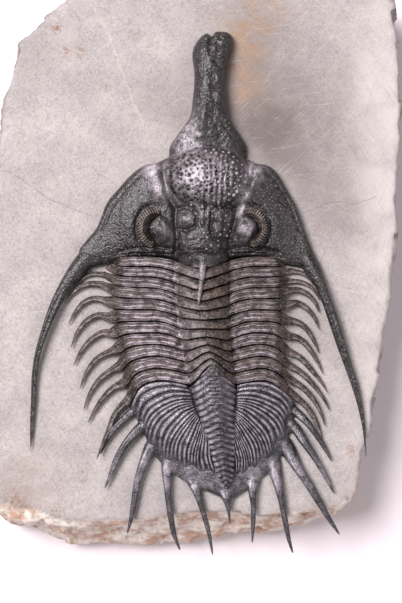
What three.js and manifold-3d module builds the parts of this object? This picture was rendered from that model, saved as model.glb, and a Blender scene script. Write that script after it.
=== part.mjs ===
// A spiny trilobite fossil on its slab of limestone. Units are millimetres, +Z up.
// The slab lies flat on its sawn underside, with the animal's head towards +Y.
// The origin is the middle of the slab's underside.
// The skeleton is a head shield, eleven thoracic segments that once hinged on each other, and a
// tail shield. Each is one plate of calcite, bedded on the slab, with its spines standing clear.
import * as THREE from "three";
import { mergeVertices } from "three/addons/utils/BufferGeometryUtils.js";
import Module from "manifold-3d";

// Driving dimensions.
const SLAB_THICKNESS = 22;
const SLAB_BULGE_HEIGHT = 8; // height at which the broken sides stand furthest out
const SLAB_UNDERCUT = 0.97; // share of the outline that the sawn underside keeps
const BED = SLAB_THICKNESS; // the plane that every plate is bedded on
const SEAM = 0.3; // open joint between neighbouring plates
const SEGMENTS = 11;
const BED_GAP = 0.02; // keeps each plate clear of the slab it rests on

// Lines across the thorax: segment i lies between line i and line i + 1.
const crestLine = (i) => 0.7 - 3.07 * i + 0.07 * i * i; // on the midline
const furrowLine = (i) => 2.7 - 3.02 * i; // in the furrow beside the axis
const flankLine = (i) => 4.1 - 2.72 * i - 0.028 * i * i; // on the flat of the flank

// The animal's own midline, seen from above: it bends towards +X at the tail.
const MIDLINE = curve([
  [4.6, 64], [3.5, 46.4], [3.0, 24], [3.0, 15.4], [1.9, 5.9], [1.5, -0.8], [1.6, -8.9],
  [2.2, -14.3], [3.1, -19.7], [4.2, -24.3], [5.4, -31.9], [6.2, -40], [7, -48.1], [8, -58.1], [9.2, -68],
]);

const PALETTE = {
  limestone: { color: 0xb6aeaa, roughness: 0.85, metalness: 0 },
  head: { color: 0x3b3a3c, roughness: 0.4, metalness: 0 },
  thorax: { color: 0x4a4543, roughness: 0.45, metalness: 0 },
  tail: { color: 0x403f42, roughness: 0.4, metalness: 0 },
};

const wasm = await Module();
wasm.setup();

// ---- Shape helpers ----

function curve(points) {
  return new THREE.CatmullRomCurve3(
    points.map(([x, y, z = 0]) => new THREE.Vector3(x, y, z)),
    false,
    "centripetal",
  );
}

// The midline's X at a given Y, by halving the stretch of curve that holds it.
function midlineX(y) {
  let [near, far] = [0, 1];
  for (let step = 0; step < 24; step++) {
    const middle = (near + far) / 2;
    if (MIDLINE.getPoint(middle).y > y) near = middle;
    else far = middle;
  }
  return MIDLINE.getPoint(near).x;
}

const mix = THREE.MathUtils.lerp;
const smooth = (t) => THREE.MathUtils.smoothstep(t, 0, 1);

// A closed solid through rings of points, all with the same count, capped at both ends.
function ringSolid(rings) {
  const sides = rings[0].length;
  const positions = rings.flat().flatMap((p) => [p.x, p.y, p.z]);
  const faces = [];
  for (let r = 0; r + 1 < rings.length; r++) {
    for (let s = 0; s < sides; s++) {
      const [a, b] = [r * sides + s, r * sides + ((s + 1) % sides)];
      faces.push(a, b, b + sides, a, b + sides, a + sides);
    }
  }
  for (const [ring, turn] of [[0, 1], [rings.length - 1, 0]]) {
    const centre = rings[ring].reduce((sum, p) => sum.add(p), new THREE.Vector3()).divideScalar(sides);
    const hub = positions.length / 3;
    positions.push(centre.x, centre.y, centre.z);
    for (let s = 0; s < sides; s++) {
      const edge = [ring * sides + s, ring * sides + ((s + 1) % sides)];
      faces.push(hub, edge[turn], edge[1 - turn]);
    }
  }
  const geometry = new THREE.BufferGeometry();
  geometry.setAttribute("position", new THREE.Float32BufferAttribute(positions, 3));
  geometry.setIndex(faces);
  return geometry;
}

// One ring of a loft: an arched section that stands across the route. side is the unit vector that
// half points along, and a section whose middle is its bottom is flat underneath.
function section({ at, side, half, top, bottom, middle = bottom, square = 1 }, sides) {
  return Array.from({ length: sides }, (_, s) => {
    const angle = (2 * Math.PI * (s + 0.5)) / sides;
    const [c, h] = [Math.cos(angle), Math.sin(angle)];
    const offset = half * Math.sign(c) * Math.abs(c) ** square;
    const height = h > 0 ? (top - middle) * h ** square : (middle - bottom) * h;
    return new THREE.Vector3(at[0] + side[0] * offset, at[1] + side[1] * offset, middle + height);
  });
}

function solidOf(geometry) {
  const bare = geometry.clone();
  bare.deleteAttribute("normal");
  bare.deleteAttribute("uv");
  const merged = mergeVertices(bare, 1e-4);
  const solid = new wasm.Manifold(
    new wasm.Mesh({
      numProp: 3,
      vertProperties: merged.attributes.position.array,
      triVerts: new Uint32Array(merged.index.array),
    }),
  );
  return solid.volume() < 0 ? solidOf(turned(merged)) : solid;
}

// The same geometry with every face turned round.
function turned(geometry) {
  const index = Array.from(geometry.index.array);
  for (let i = 0; i < index.length; i += 3) [index[i + 1], index[i + 2]] = [index[i + 2], index[i + 1]];
  geometry.setIndex(index);
  return geometry;
}

const loft = (stations, sides) => solidOf(ringSolid(stations.map((s) => section(s, sides))));
const unite = (solids) => solids.reduce((whole, next) => whole.add(next));

function piece(name, solid, finish) {
  const { vertProperties, triVerts } = solid.getMesh();
  const geometry = new THREE.BufferGeometry();
  geometry.setAttribute("position", new THREE.BufferAttribute(vertProperties, 3));
  geometry.setIndex(new THREE.BufferAttribute(triVerts, 1));
  geometry.computeVertexNormals();
  const mesh = new THREE.Mesh(geometry, new THREE.MeshStandardMaterial(finish));
  mesh.name = name;
  return mesh;
}

// A free spine: round in section, tapering along its route.
// Each point is [x, y, half width, height of the middle above the bed].
function spine(points, steps = 10, sides = 8) {
  const route = curve(points);
  const widths = curve(points.map(([, , half, middle], i) => [i, half, middle]));
  return loft(
    Array.from({ length: steps + 1 }, (_, i) => {
      const t = i / steps;
      const [p, way, size] = [route.getPoint(t), route.getTangent(t), widths.getPoint(t)];
      const middle = BED + size.z;
      const length = Math.hypot(way.x, way.y);
      return {
        at: [p.x, p.y],
        side: [way.y / length, -way.x / length],
        half: size.y,
        top: middle + size.y,
        bottom: Math.max(middle - size.y, BED + BED_GAP),
        middle,
      };
    }),
    sides,
  );
}

// ---- The slab: sawn flat below, ground flat above, broken all round ----

// Pairs of points round the edge: where the broken side stands furthest out, and the rim of the top face.
const SLAB_EDGE = [
  [[-32.7, 76.7], [-30.8, 74.5]], [[-38.9, 70.7], [-36.7, 69.1]], [[-48.6, 62.1], [-45.6, 61.0]],
  [[-51.3, 50.5], [-48.6, 49.7]], [[-53.7, 32.9], [-51.3, 32.9]], [[-54.8, 11.3], [-52.4, 11.3]],
  [[-55.1, -13.0], [-52.9, -13.0]], [[-54.8, -37.3], [-52.9, -37.3]], [[-54.3, -58.9], [-52.1, -56.2]],
  [[-47.5, -67.2], [-45.4, -63.5]], [[-36.2, -75.6], [-34.6, -68.9]], [[-23.2, -76.1], [-22.7, -67.8]],
  [[1.1, -74.8], [1.1, -64.5]], [[25.4, -71.0], [24.0, -64.8]], [[40.2, -66.2], [38.1, -62.9]],
  [[43.7, -61.6], [41.6, -58.9]], [[44.8, -52.1], [43.2, -50.8]], [[48.1, -37.3], [46.7, -37.3]],
  [[51.6, -13.0], [50.2, -13.0]], [[54.0, 11.3], [52.7, 11.3]], [[55.1, 38.3], [53.7, 38.3]],
  [[54.8, 59.9], [53.5, 59.9]], [[52.9, 74.0], [51.6, 72.4]], [[48.3, 76.7], [47.5, 74.5]],
];

function slab() {
  const ring = (which, height, share = 1) =>
    SLAB_EDGE.map((pair) => new THREE.Vector3(pair[which][0] * share, pair[which][1] * share, height));
  const rings = [ring(0, 0, SLAB_UNDERCUT), ring(0, SLAB_BULGE_HEIGHT), ring(1, SLAB_THICKNESS)];
  return solidOf(ringSolid(rings));
}

// ---- Thorax: one arched plate per segment, from the tip of one spine to the tip of the other ----

const AXIS_HALF_WIDTH = (i) => mix(7.3, 6.4, i / SEGMENTS);
const AXIS_HEIGHT = (i) => mix(9.0, 8.0, i / SEGMENTS);
const FURROW_HEIGHT = 4.0;
const FLANK_FROM_MIDLINE = 13; // where the segment lines have settled to the flank's own
const FULCRUM_X = [
  (i) => -20.8 + 6.5 * (Math.max(i - 4, 0) / 6) ** 1.6, // the flank bends down here on the -X side
  () => 21.3,
];

// Spines of each segment as [root], [bend], [tip]. The first ones end short under the cheeks.
const THORAX_SPINES = [
  [
    [[-22.0, 2.9], [-22.4, 2.8], [-22.8, 2.7]],
    [[-23.3, 1.1], [-23.8, 1.0], [-24.4, 0.9]],
    [[-24.6, -1.0], [-29.6, -1.9], [-31.6, -3.6]],
    [[-24.8, -3.6], [-30.4, -3.7], [-35.1, -8.1]],
    [[-24.3, -7.9], [-30.8, -8.8], [-34.3, -13.8]],
    [[-23.8, -12.4], [-30.0, -13.6], [-33.5, -20.0]],
    [[-23.2, -16.7], [-29.4, -19.4], [-32.7, -24.8]],
    [[-22.1, -21.1], [-27.9, -24.7], [-31.0, -31.0]],
    [[-20.8, -25.4], [-26.3, -29.5], [-30.0, -36.7]],
    [[-19.7, -30.0], [-25.0, -33.9], [-28.9, -40.2]],
    [[-18.4, -34.6], [-23.4, -41.4], [-26.6, -49.8]],
  ],
  [
    [[22.6, 1.7], [23.0, 1.6], [23.4, 1.5]],
    [[25.3, 0.2], [28.9, -0.9], [31.0, -3.2]],
    [[24.8, -2.5], [29.4, -3.5], [32.6, -7.4]],
    [[24.3, -5.1], [29.6, -6.2], [33.0, -10.8]],
    [[24.5, -8.6], [30.0, -10.0], [32.9, -15.2]],
    [[24.6, -13.2], [30.2, -15.7], [33.0, -21.4]],
    [[24.9, -17.5], [30.7, -21.1], [34.1, -27.1]],
    [[25.2, -21.9], [31.1, -26.3], [35.1, -31.9]],
    [[25.4, -25.5], [31.8, -30.8], [35.9, -37.1]],
    [[25.7, -29.3], [31.4, -34.4], [34.6, -41.2]],
    [[26.2, -33.3], [30.8, -38.2], [34.2, -45.6]],
  ],
];
const SPINE_ROOT_HALF = 1.05;
const SPINE_TIP_HALF = 0.2;
const SPINE_ROOT_RISE = 1.7; // height of the spine's middle above the bed
const SPINE_TIP_RISE = 1.1;
const LOW_SPINES = 3; // the first spines keep low, so that they pass under the cheek spines
const LOW_SPINE_RISE = 0.75;
const CROSSING_RISE = 1.3; // the last spine on the -X side lies over the first of the tail there

// A point on line i: share runs from 0 on the midline to 1 in the furrow, 2 on the flat of the flank
// and 3 at the fulcrum.
function linePoint(i, hand, share) {
  const way = hand ? 1 : -1;
  const centre = midlineX(crestLine(i));
  const furrow = centre + way * AXIS_HALF_WIDTH(i);
  const flank = centre + way * FLANK_FROM_MIDLINE;
  if (share <= 1) return [mix(centre, furrow, share), mix(crestLine(i), furrowLine(i), smooth(share))];
  const out = share - 1;
  if (out <= 1) return [mix(furrow, flank, out), mix(furrowLine(i), flankLine(i), Math.sqrt(out))];
  return [mix(flank, FULCRUM_X[hand](i), out - 1), flankLine(i)];
}

// Shares at which the plate's sections stand, each with its height.
const PLATE_SECTIONS = [
  [0, 1], [0.2, 0.97], [0.4, 0.88], [0.6, 0.7], [0.8, 0.42], [1, 0], [1.4, 0.1], [2, 0.14], [3, 0.04],
];

// Stations from the midline out to one spine tip. extra widens the plate, to cut a neighbour back from it.
function halfSegment(i, hand, extra) {
  const way = hand ? 1 : -1;
  const stations = PLATE_SECTIONS.map(([share, rise]) => {
    const [front, rear] = [linePoint(i, hand, share), linePoint(i + 1, hand, share)];
    const width = Math.hypot(front[0] - rear[0], front[1] - rear[1]);
    return {
      at: [mix(front[0], rear[0], 0.5), mix(front[1], rear[1], 0.5)],
      side: [(front[0] - rear[0]) / width, (front[1] - rear[1]) / width],
      half: (width - SEAM) / 2 + extra,
      top: BED + mix(FURROW_HEIGHT, AXIS_HEIGHT(i), rise) + extra,
      bottom: BED + BED_GAP - extra,
      square: 0.6,
    };
  });

  const [root, , tip] = THORAX_SPINES[hand][i];
  const route = curve(THORAX_SPINES[hand][i]);
  const steps = Math.hypot(tip[0] - root[0], tip[1] - root[1]) > 3 ? 6 : 1;
  const low = i < LOW_SPINES;
  const over = i === SEGMENTS - 1 && !hand ? CROSSING_RISE : 0;
  const rootHalf = i === 0 ? 0.5 : low ? 0.8 : SPINE_ROOT_HALF;
  const flat = stations.at(-1);
  for (let s = 0; s <= steps; s++) {
    const t = s / steps;
    const [p, along] = [route.getPoint(t), route.getTangent(t)];
    const across = new THREE.Vector2(-way * along.y, way * along.x).normalize();
    const side = new THREE.Vector2(...flat.side).lerp(across, smooth(t * 3)).normalize();
    const half = mix(rootHalf, SPINE_TIP_HALF, t ** 1.3);
    const rise = low ? LOW_SPINE_RISE : mix(SPINE_ROOT_RISE, SPINE_TIP_RISE + over, smooth(t));
    const middle = BED + Math.max(rise, half + BED_GAP);
    stations.push({
      at: [p.x, p.y],
      side: [side.x, side.y],
      half: half + extra,
      top: middle + half * (low ? 0.7 : 1) + extra,
      bottom: Math.max(middle - half, BED + BED_GAP) - extra,
      middle,
    });
  }
  if (extra) {
    const [p, along] = [route.getPoint(1), route.getTangent(1)];
    stations.push({ ...stations.at(-1), at: [p.x + along.x * extra, p.y + along.y * extra] });
  }
  return stations;
}

function thoracicSegment(i, extra = 0) {
  const left = halfSegment(i, 0, extra);
  const right = halfSegment(i, 1, extra).slice(1);
  return loft([...left.reverse(), ...right], 10);
}

// ---- Head shield ----

// Stations across the shield as [x, rear y, front y, height].
const HEAD_STATIONS = [
  [-26.6, 1.5, 11.8, 1.6], [-24.2, 1.9, 18.2, 2.6], [-21.0, 3.0, 22.3, 3.8], [-17.3, 3.6, 26.3, 5.2],
  [-14.3, 3.6, 28.5, 5.8], [-10.3, 3.3, 29.5, 6.2], [-7.0, 2.0, 30.9, 6.4], [1.9, 0.2, 31.2, 6.4],
  [10.0, 2.0, 31.0, 6.4], [13.0, 3.3, 30.7, 6.2], [16.4, 3.6, 29.2, 5.9], [19.0, 3.6, 28.8, 5.2],
  [21.8, 2.4, 26.7, 4.2], [24.5, 1.7, 22.2, 3.0], [27.0, 1.5, 17.6, 2.4], [29.4, 2.8, 10.6, 1.6],
];
const HEAD_SQUARE = 0.55;

// The process that juts from the front, as [y, middle x, half width, height].
const ROSTRUM = [
  [28, 3.0, 10.0, 6.6], [34.8, 2.8, 10.2, 7.4], [39.8, 2.9, 7.7, 7.4], [43.7, 3.4, 5.7, 6.9],
  [47, 3.6, 4.9, 6.4], [51, 3.8, 4.4, 6.0], [55, 4.0, 4.7, 5.8], [58.5, 4.4, 5.3, 5.6],
  [61.5, 4.9, 4.9, 5.0], [63.6, 5.2, 3.4, 3.6],
];

// Rounded swellings, as [x, y, height of the middle, half sizes].
const FRONTAL_LOBE = [3.0, 23.6, 3.5, 10.8, 9.3, 8.9];
const EYES = [[-11.0, 12.3, 3.0, 4.8, 5.4, 6.2], [14.6, 12.2, 3.0, 4.8, 5.4, 6.2]];

// The narrower lobe behind the frontal one, and the ring at its rear, as [y, middle x, half width, height].
const REAR_LOBE = [[20, 3, 7.6, 9.5], [15, 2.9, 7.3, 9.6], [10, 2.3, 6.8, 9.4], [6.3, 1.9, 6.6, 9.0]];
const NECK_RING = [[5.8, 1.9, 7.1, 9.0], [3.8, 1.8, 7.3, 9.6], [0.9, 1.7, 5.0, 9.0]];

// Spines that sweep back from the cheeks, as [x, y, half width, height of the middle].
const CHEEK_SPINES = [
  [
    [-25.6, 8.0, 3.2, 3.2], [-31.2, 1.4, 2.5, 3.4], [-34.7, -3.2, 1.7, 3.4], [-37.8, -8.9, 1.4, 3.1],
    [-40.5, -15.7, 1.0, 2.6], [-42.3, -21.3, 0.8, 2.3], [-43.3, -26.6, 0.8, 2.0], [-43.8, -34.6, 0.7, 1.7],
    [-44.3, -43.0, 0.5, 1.3], [-44.6, -48.9, 0.2, 1.0],
  ],
  [
    [27.8, 7.8, 3.2, 3.2], [31.2, 0.5, 2.2, 3.4], [33.4, -3.4, 1.5, 3.4], [35.0, -7.6, 1.4, 3.2],
    [36.9, -13.0, 1.4, 2.9], [38.6, -18.4, 1.3, 2.6], [40.4, -23.8, 1.15, 2.3], [42.7, -30.5, 1.0, 2.0],
    [44.1, -35.9, 0.65, 1.7], [45.1, -41.3, 0.5, 1.4], [45.9, -51.3, 0.2, 1.0],
  ],
];

function swelling([x, y, z, rx, ry, rz]) {
  const ball = new THREE.SphereGeometry(1, 20, 12);
  ball.scale(rx, rz, ry);
  ball.rotateX(Math.PI / 2);
  ball.translate(x, y, BED + z);
  return solidOf(ball);
}

// A ridge that runs along the midline, as [y, middle x, half width, height] stations.
const ridge = (stations, square = 0.8, sides = 14) =>
  loft(
    stations.map(([y, x, half, height]) => ({
      at: [x, y],
      side: [1, 0],
      half,
      top: BED + height,
      bottom: BED + BED_GAP,
      square,
    })),
    sides,
  );

// Everything above the bed: a block that trims whatever dips into the slab.
function aboveBed(solid) {
  const block = new THREE.BoxGeometry(200, 200, 60);
  block.translate(0, 0, BED + BED_GAP + 30);
  return solid.intersect(solidOf(block));
}

function headShield() {
  const plate = loft(
    HEAD_STATIONS.map(([x, rear, front, height]) => ({
      at: [x, (rear + front) / 2],
      side: [0, 1],
      half: (front - rear) / 2,
      top: BED + height,
      bottom: BED + BED_GAP,
      square: HEAD_SQUARE,
    })),
    16,
  );
  const parts = [
    plate,
    ridge(ROSTRUM),
    ridge(REAR_LOBE),
    ridge(NECK_RING),
    swelling(FRONTAL_LOBE),
    ...EYES.map(swelling),
    ...CHEEK_SPINES.map((points) => spine(points, 18)),
  ];
  const clear = unite([thoracicSegment(0, SEAM), thoracicSegment(1, SEAM), thoracicSegment(2, SEAM)]);
  return aboveBed(unite(parts)).subtract(clear);
}

// ---- Tail shield: fused segments, with five pairs of spines and one at the end ----

// Stations down the shield as [y, -X edge, +X edge, height].
const TAIL_STATIONS = [
  [-29.6, -13.2, 21.4, 4.6], [-32.2, -15.6, 23.8, 4.5], [-35.8, -17.0, 26.2, 4.4], [-40.0, -15.6, 26.0, 4.2],
  [-44.0, -13.6, 25.0, 4.0], [-49.5, -10.8, 22.8, 3.4], [-54.0, -5.6, 19.0, 2.8], [-57.6, -0.8, 14.4, 2.4],
  [-59.6, 4.0, 12.0, 2.0], [-61.0, 7.4, 10.0, 1.8],
];
const TAIL_AXIS = [
  [-25.2, 4.3, 0.9, 7.8], [-26.7, 4.5, 2.2, 8.0], [-28.4, 4.8, 3.5, 8.0], [-29.9, 5.0, 4.8, 8.0],
  [-31.2, 5.3, 5.8, 8.0], [-36, 5.9, 4.9, 7.4], [-44, 6.6, 3.8, 6.3], [-52, 7.4, 2.7, 5.0],
  [-57.6, 7.9, 1.2, 3.4],
];
// As [x, y, half width, height of the middle], from root to tip.
const TAIL_SPINES = [
  [[-14.6, -37.6, 1.5, 1.8], [-17.5, -38.4, 1.2, 1.8], [-22.0, -42.6, 1.0, 1.5], [-25.6, -49.4, 0.3, 1.0]],
  [[-12.0, -41.0, 1.7, 2.0], [-15.2, -42.8, 1.3, 2.0], [-20.8, -49.6, 1.1, 1.8], [-24.5, -58.6, 0.3, 1.3]],
  [[-9.4, -46.2, 2.2, 2.0], [-12.8, -50.2, 1.6, 2.0], [-16.4, -58.6, 1.2, 1.8], [-18.7, -70.9, 0.3, 1.3]],
  [[-6.2, -49.0, 2.4, 2.0], [-7.6, -56.0, 1.6, 2.0], [-6.8, -66.2, 1.1, 1.8], [-4.1, -75.4, 0.3, 1.3]],
  [[-1.0, -54.6, 2.4, 2.0], [0.8, -59.2, 1.6, 2.0], [2.9, -66.4, 1.0, 1.8], [4.6, -76.8, 0.3, 1.3]],
  [[8.1, -57.0, 1.8, 1.8], [8.5, -61.0, 1.2, 1.8], [8.8, -64.4, 0.7, 1.7], [9.2, -68.0, 0.25, 1.4]],
  [[16.0, -53.8, 2.4, 2.0], [15.2, -59.4, 1.4, 2.0], [15.0, -65.6, 1.0, 1.8], [15.1, -73.4, 0.3, 1.3]],
  [[20.2, -49.4, 2.4, 2.0], [21.8, -57.2, 1.5, 2.0], [23.4, -65.6, 1.1, 1.8], [26.2, -76.2, 0.3, 1.3]],
  [[23.2, -44.6, 2.4, 2.0], [26.6, -50.2, 1.5, 2.0], [32.0, -59.8, 1.1, 1.8], [38.9, -71.2, 0.3, 1.3]],
  [[24.0, -41.0, 1.7, 2.0], [27.2, -44.0, 1.3, 2.0], [32.6, -51.4, 1.1, 1.8], [37.3, -59.9, 0.3, 1.3]],
  [[24.2, -36.6, 1.5, 1.8], [27.6, -38.8, 1.2, 1.8], [32.4, -44.6, 1.0, 1.6], [36.6, -51.2, 0.3, 1.2]],
];

function tailShield() {
  const plate = loft(
    TAIL_STATIONS.map(([y, low, high, height]) => ({
      at: [(low + high) / 2, y],
      side: [1, 0],
      half: (high - low) / 2,
      top: BED + height,
      bottom: BED + BED_GAP,
      square: 0.6,
    })),
    20,
  );
  const parts = [plate, ridge(TAIL_AXIS), ...TAIL_SPINES.map((points) => spine(points, 9))];
  return aboveBed(unite(parts)).subtract(thoracicSegment(SEGMENTS - 1, SEAM));
}

// ---- The whole fossil ----

const fossil = new THREE.Group();
fossil.add(piece("limestone_slab", slab(), PALETTE.limestone));
fossil.add(piece("head_shield", headShield(), PALETTE.head));
for (let i = 0; i < SEGMENTS; i++) {
  const name = `thoracic_segment_${String(i + 1).padStart(2, "0")}`;
  fossil.add(piece(name, thoracicSegment(i), PALETTE.thorax));
}
fossil.add(piece("tail_shield", tailShield(), PALETTE.tail));

export default fossil;
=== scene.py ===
import math

import bpy
import numpy as np
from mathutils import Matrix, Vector, noise


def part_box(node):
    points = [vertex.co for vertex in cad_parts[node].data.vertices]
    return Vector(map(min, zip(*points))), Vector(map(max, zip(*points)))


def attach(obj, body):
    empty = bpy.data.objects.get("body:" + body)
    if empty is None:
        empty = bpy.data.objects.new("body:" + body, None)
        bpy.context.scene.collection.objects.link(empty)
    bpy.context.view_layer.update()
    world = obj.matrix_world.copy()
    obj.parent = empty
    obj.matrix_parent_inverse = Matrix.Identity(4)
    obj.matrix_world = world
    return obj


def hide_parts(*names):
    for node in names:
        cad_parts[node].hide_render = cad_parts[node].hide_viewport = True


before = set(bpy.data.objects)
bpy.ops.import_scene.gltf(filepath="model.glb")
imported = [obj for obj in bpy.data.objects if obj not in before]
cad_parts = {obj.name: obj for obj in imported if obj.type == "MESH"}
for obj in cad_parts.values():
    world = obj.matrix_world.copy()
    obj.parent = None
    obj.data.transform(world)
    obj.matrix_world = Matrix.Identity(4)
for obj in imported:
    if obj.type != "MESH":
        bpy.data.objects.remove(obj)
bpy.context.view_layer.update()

# ---- Limestone slab ----
# A piece of a bed of Devonian limestone. Its top was ground down round the fossil with small
# air tools and sanded, its sides are as they broke, and its underside is sawn flat.
MM = 0.001  # metres in a millimetre
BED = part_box("limestone_slab")[1].z / MM  # the ground top, which every plate of the animal lies on
SLAB_VOXEL = 0.85
CHIP_SIZE = 7.0  # spacing of the facets on the broken sides
CHIP_DEPTH = 2.7
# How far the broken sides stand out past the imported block, as a share of the way from the middle.
SPREAD_LEFT = 0.04
SPREAD_RIGHT = 0.022
SPREAD_HEAD = 0.018
CORNER = [-54.0, -61.0]  # the lower left corner, which is pulled out further
CORNER_SIZE = 10
CORNER_PULL = [-1.0, -7.5]
BROW = [  # where the ground face gives way to the broken lower edge, as x, y
    [-60.0, -60.0], [-52.9, -62.1], [-37.0, -65.9], [-18.6, -67.8], [2.2, -66.4], [20.8, -68.9],
    [39.2, -66.4], [43.2, -60.0], [60.0, -56.0],
]


def linear(hex_colour):
    """An sRGB hex colour as linear red, green, blue and alpha."""
    parts = [int(hex_colour[i : i + 2], 16) / 255 for i in (1, 3, 5)]
    return (*[p / 12.92 if p <= 0.04045 else ((p + 0.055) / 1.055) ** 2.4 for p in parts], 1.0)


def add(tree, kind, inputs=None, **settings):
    """Adds a node. Each value in inputs is set on its socket, and each socket in inputs is linked."""
    made = tree.nodes.new(kind)
    for name, value in settings.items():
        setattr(made, name, value)
    for name, value in (inputs or {}).items():
        if isinstance(value, bpy.types.NodeSocket):
            tree.links.new(value, made.inputs[name])
        else:
            made.inputs[name].default_value = value
    return made


def positions(piece):
    """The piece's vertices in millimetres, as rows of x, y, z."""
    flat = np.empty(len(piece.data.vertices) * 3)
    piece.data.vertices.foreach_get("co", flat)
    return flat.reshape(-1, 3) / MM


def normals(piece):
    flat = np.empty(len(piece.data.vertices) * 3)
    piece.data.vertices.foreach_get("normal", flat)
    return flat.reshape(-1, 3)


def move_to(piece, places):
    piece.data.vertices.foreach_set("co", (np.asarray(places) * MM).ravel())
    piece.data.update()


def select_only(*pieces):
    bpy.ops.object.select_all(action="DESELECT")
    for piece in pieces:
        piece.select_set(True)
    bpy.context.view_layer.objects.active = pieces[0]


def remesh(piece, voxel):
    """Rebuilds the piece as one even skin of small quads."""
    select_only(piece)
    skin = piece.modifiers.new("skin", "REMESH")
    skin.mode = "VOXEL"
    skin.voxel_size = voxel * MM
    bpy.ops.object.modifier_apply(modifier=skin.name)


def soften(piece, turns, factor=0.5):
    select_only(piece)
    rub = piece.modifiers.new("rub", "SMOOTH")
    rub.factor = factor
    rub.iterations = turns
    bpy.ops.object.modifier_apply(modifier=rub.name)


def step(edge0, edge1, value):
    """0 below edge0, 1 above edge1, and smooth between."""
    t = np.clip((value - edge0) / (edge1 - edge0), 0, 1)
    return t * t * (3 - 2 * t)


def bump(value, centre, width):
    """A smooth hump, 1 at the centre and nearly 0 two widths away."""
    return np.exp(-(((value - centre) / width) ** 2))


def grain(places, size, octaves=3, seed=0.0):
    """Fractal noise from about -1 to 1 at each place, with features of the size given."""
    shift = Vector((seed * 17.3, seed * 5.1, seed * 9.7))
    return np.array([noise.fractal(Vector(p) / size + shift, 1.0, 2.0, octaves) for p in places])


def finish_piece(piece, nodes, material):
    piece.data.materials.clear()
    piece.data.materials.append(material)
    select_only(piece)
    bpy.ops.object.shade_smooth()
    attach(piece, "root")
    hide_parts(*nodes)


def attribute(piece, name, values):
    """Stores one number for each vertex, for a material to read."""
    made = piece.data.attributes.new(name, "FLOAT", "POINT")
    made.data.foreach_set("value", np.asarray(values, dtype=np.float32))


def away_from(points, places):
    """Signed sideways distance from a line through points, and how far along it each place is."""
    points = np.array(points, float)
    best = np.full(len(places), 1e9)
    signed = np.zeros(len(places))
    along = np.zeros(len(places))
    walked = 0.0
    for a, b in zip(points[:-1], points[1:]):
        way = b - a
        length = np.hypot(*way)
        way = way / length
        rel = places[:, :2] - a
        t = np.clip(rel @ way, 0, length)
        off = rel - t[:, None] * way
        gap = np.hypot(off[:, 0], off[:, 1])
        side = np.sign(way[0] * rel[:, 1] - way[1] * rel[:, 0])
        near = gap < best
        best[near] = gap[near]
        signed[near] = (side * gap)[near]
        along[near] = (walked + t)[near]
        walked += length
    return signed, along, walked


select_only(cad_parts["limestone_slab"])
bpy.ops.object.duplicate()
slab = bpy.context.object
slab.name = "limestone_slab_stone"
bpy.ops.object.mode_set(mode="EDIT")
bpy.ops.mesh.select_all(action="SELECT")
bpy.ops.mesh.remove_doubles(threshold=0.01 * MM)
bpy.ops.object.mode_set(mode="OBJECT")
remesh(slab, SLAB_VOXEL)

at = positions(slab)
facing = normals(slab)
lift = step(0.3, 1.0, at[:, 2] / BED)
at[:, 0] *= 1 + lift * np.where(at[:, 0] < 0, SPREAD_LEFT, SPREAD_RIGHT)
at[:, 1] *= 1 + lift * np.where(at[:, 1] > 0, SPREAD_HEAD, 0.0)
corner = bump(np.hypot(at[:, 0] - CORNER[0], at[:, 1] - CORNER[1]), 0, CORNER_SIZE)
at[:, :2] += corner[:, None] * CORNER_PULL
side = step(0.9, 0.5, np.abs(facing[:, 2]))
outward = facing * [1, 1, 0.35]
outward /= np.maximum(np.linalg.norm(outward, axis=1), 0.2)[:, None]
chips = np.zeros(len(at))
for i in np.flatnonzero(side > 0.01):
    place = Vector(at[i]) / CHIP_SIZE
    nearest = noise.voronoi(place)[1][0]
    tilt = Vector(noise.cell_vector(nearest * 7.7)) - Vector((0.5, 0.5, 0.5))
    chips[i] = 2.2 * tilt.dot(place - nearest) + 0.5 * tilt.x
rough = grain(at, 2.6, 4)
wavy = grain(at, 16, 2, 3.0)
depth = side * (CHIP_DEPTH * (0.5 * chips + 0.25 * wavy) + 0.4 * rough - 0.2)
at -= outward * np.clip(depth, -1.0, 3.5)[:, None]
under = facing[:, 2] < -0.9
top = facing[:, 2] > 0.9
at[:, 2] -= top * np.clip(0.05 + 0.05 * grain(at, 9, 3, 5.0) + 0.03 * rough, 0, 0.3)
brow = np.array(BROW)
past = np.interp(at[:, 0], brow[:, 0], brow[:, 1]) + 0.9 * wavy + 0.5 * rough - at[:, 1]
at[:, 2] *= 1 - (0.62 * np.clip(past, 0, 12) + 0.5 * step(0.0, 1.0, past) * (1 + rough)) / BED
at[under, 2] = 0.0
at[:, 2] = np.clip(at[:, 2], 0, BED)
move_to(slab, at)

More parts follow.
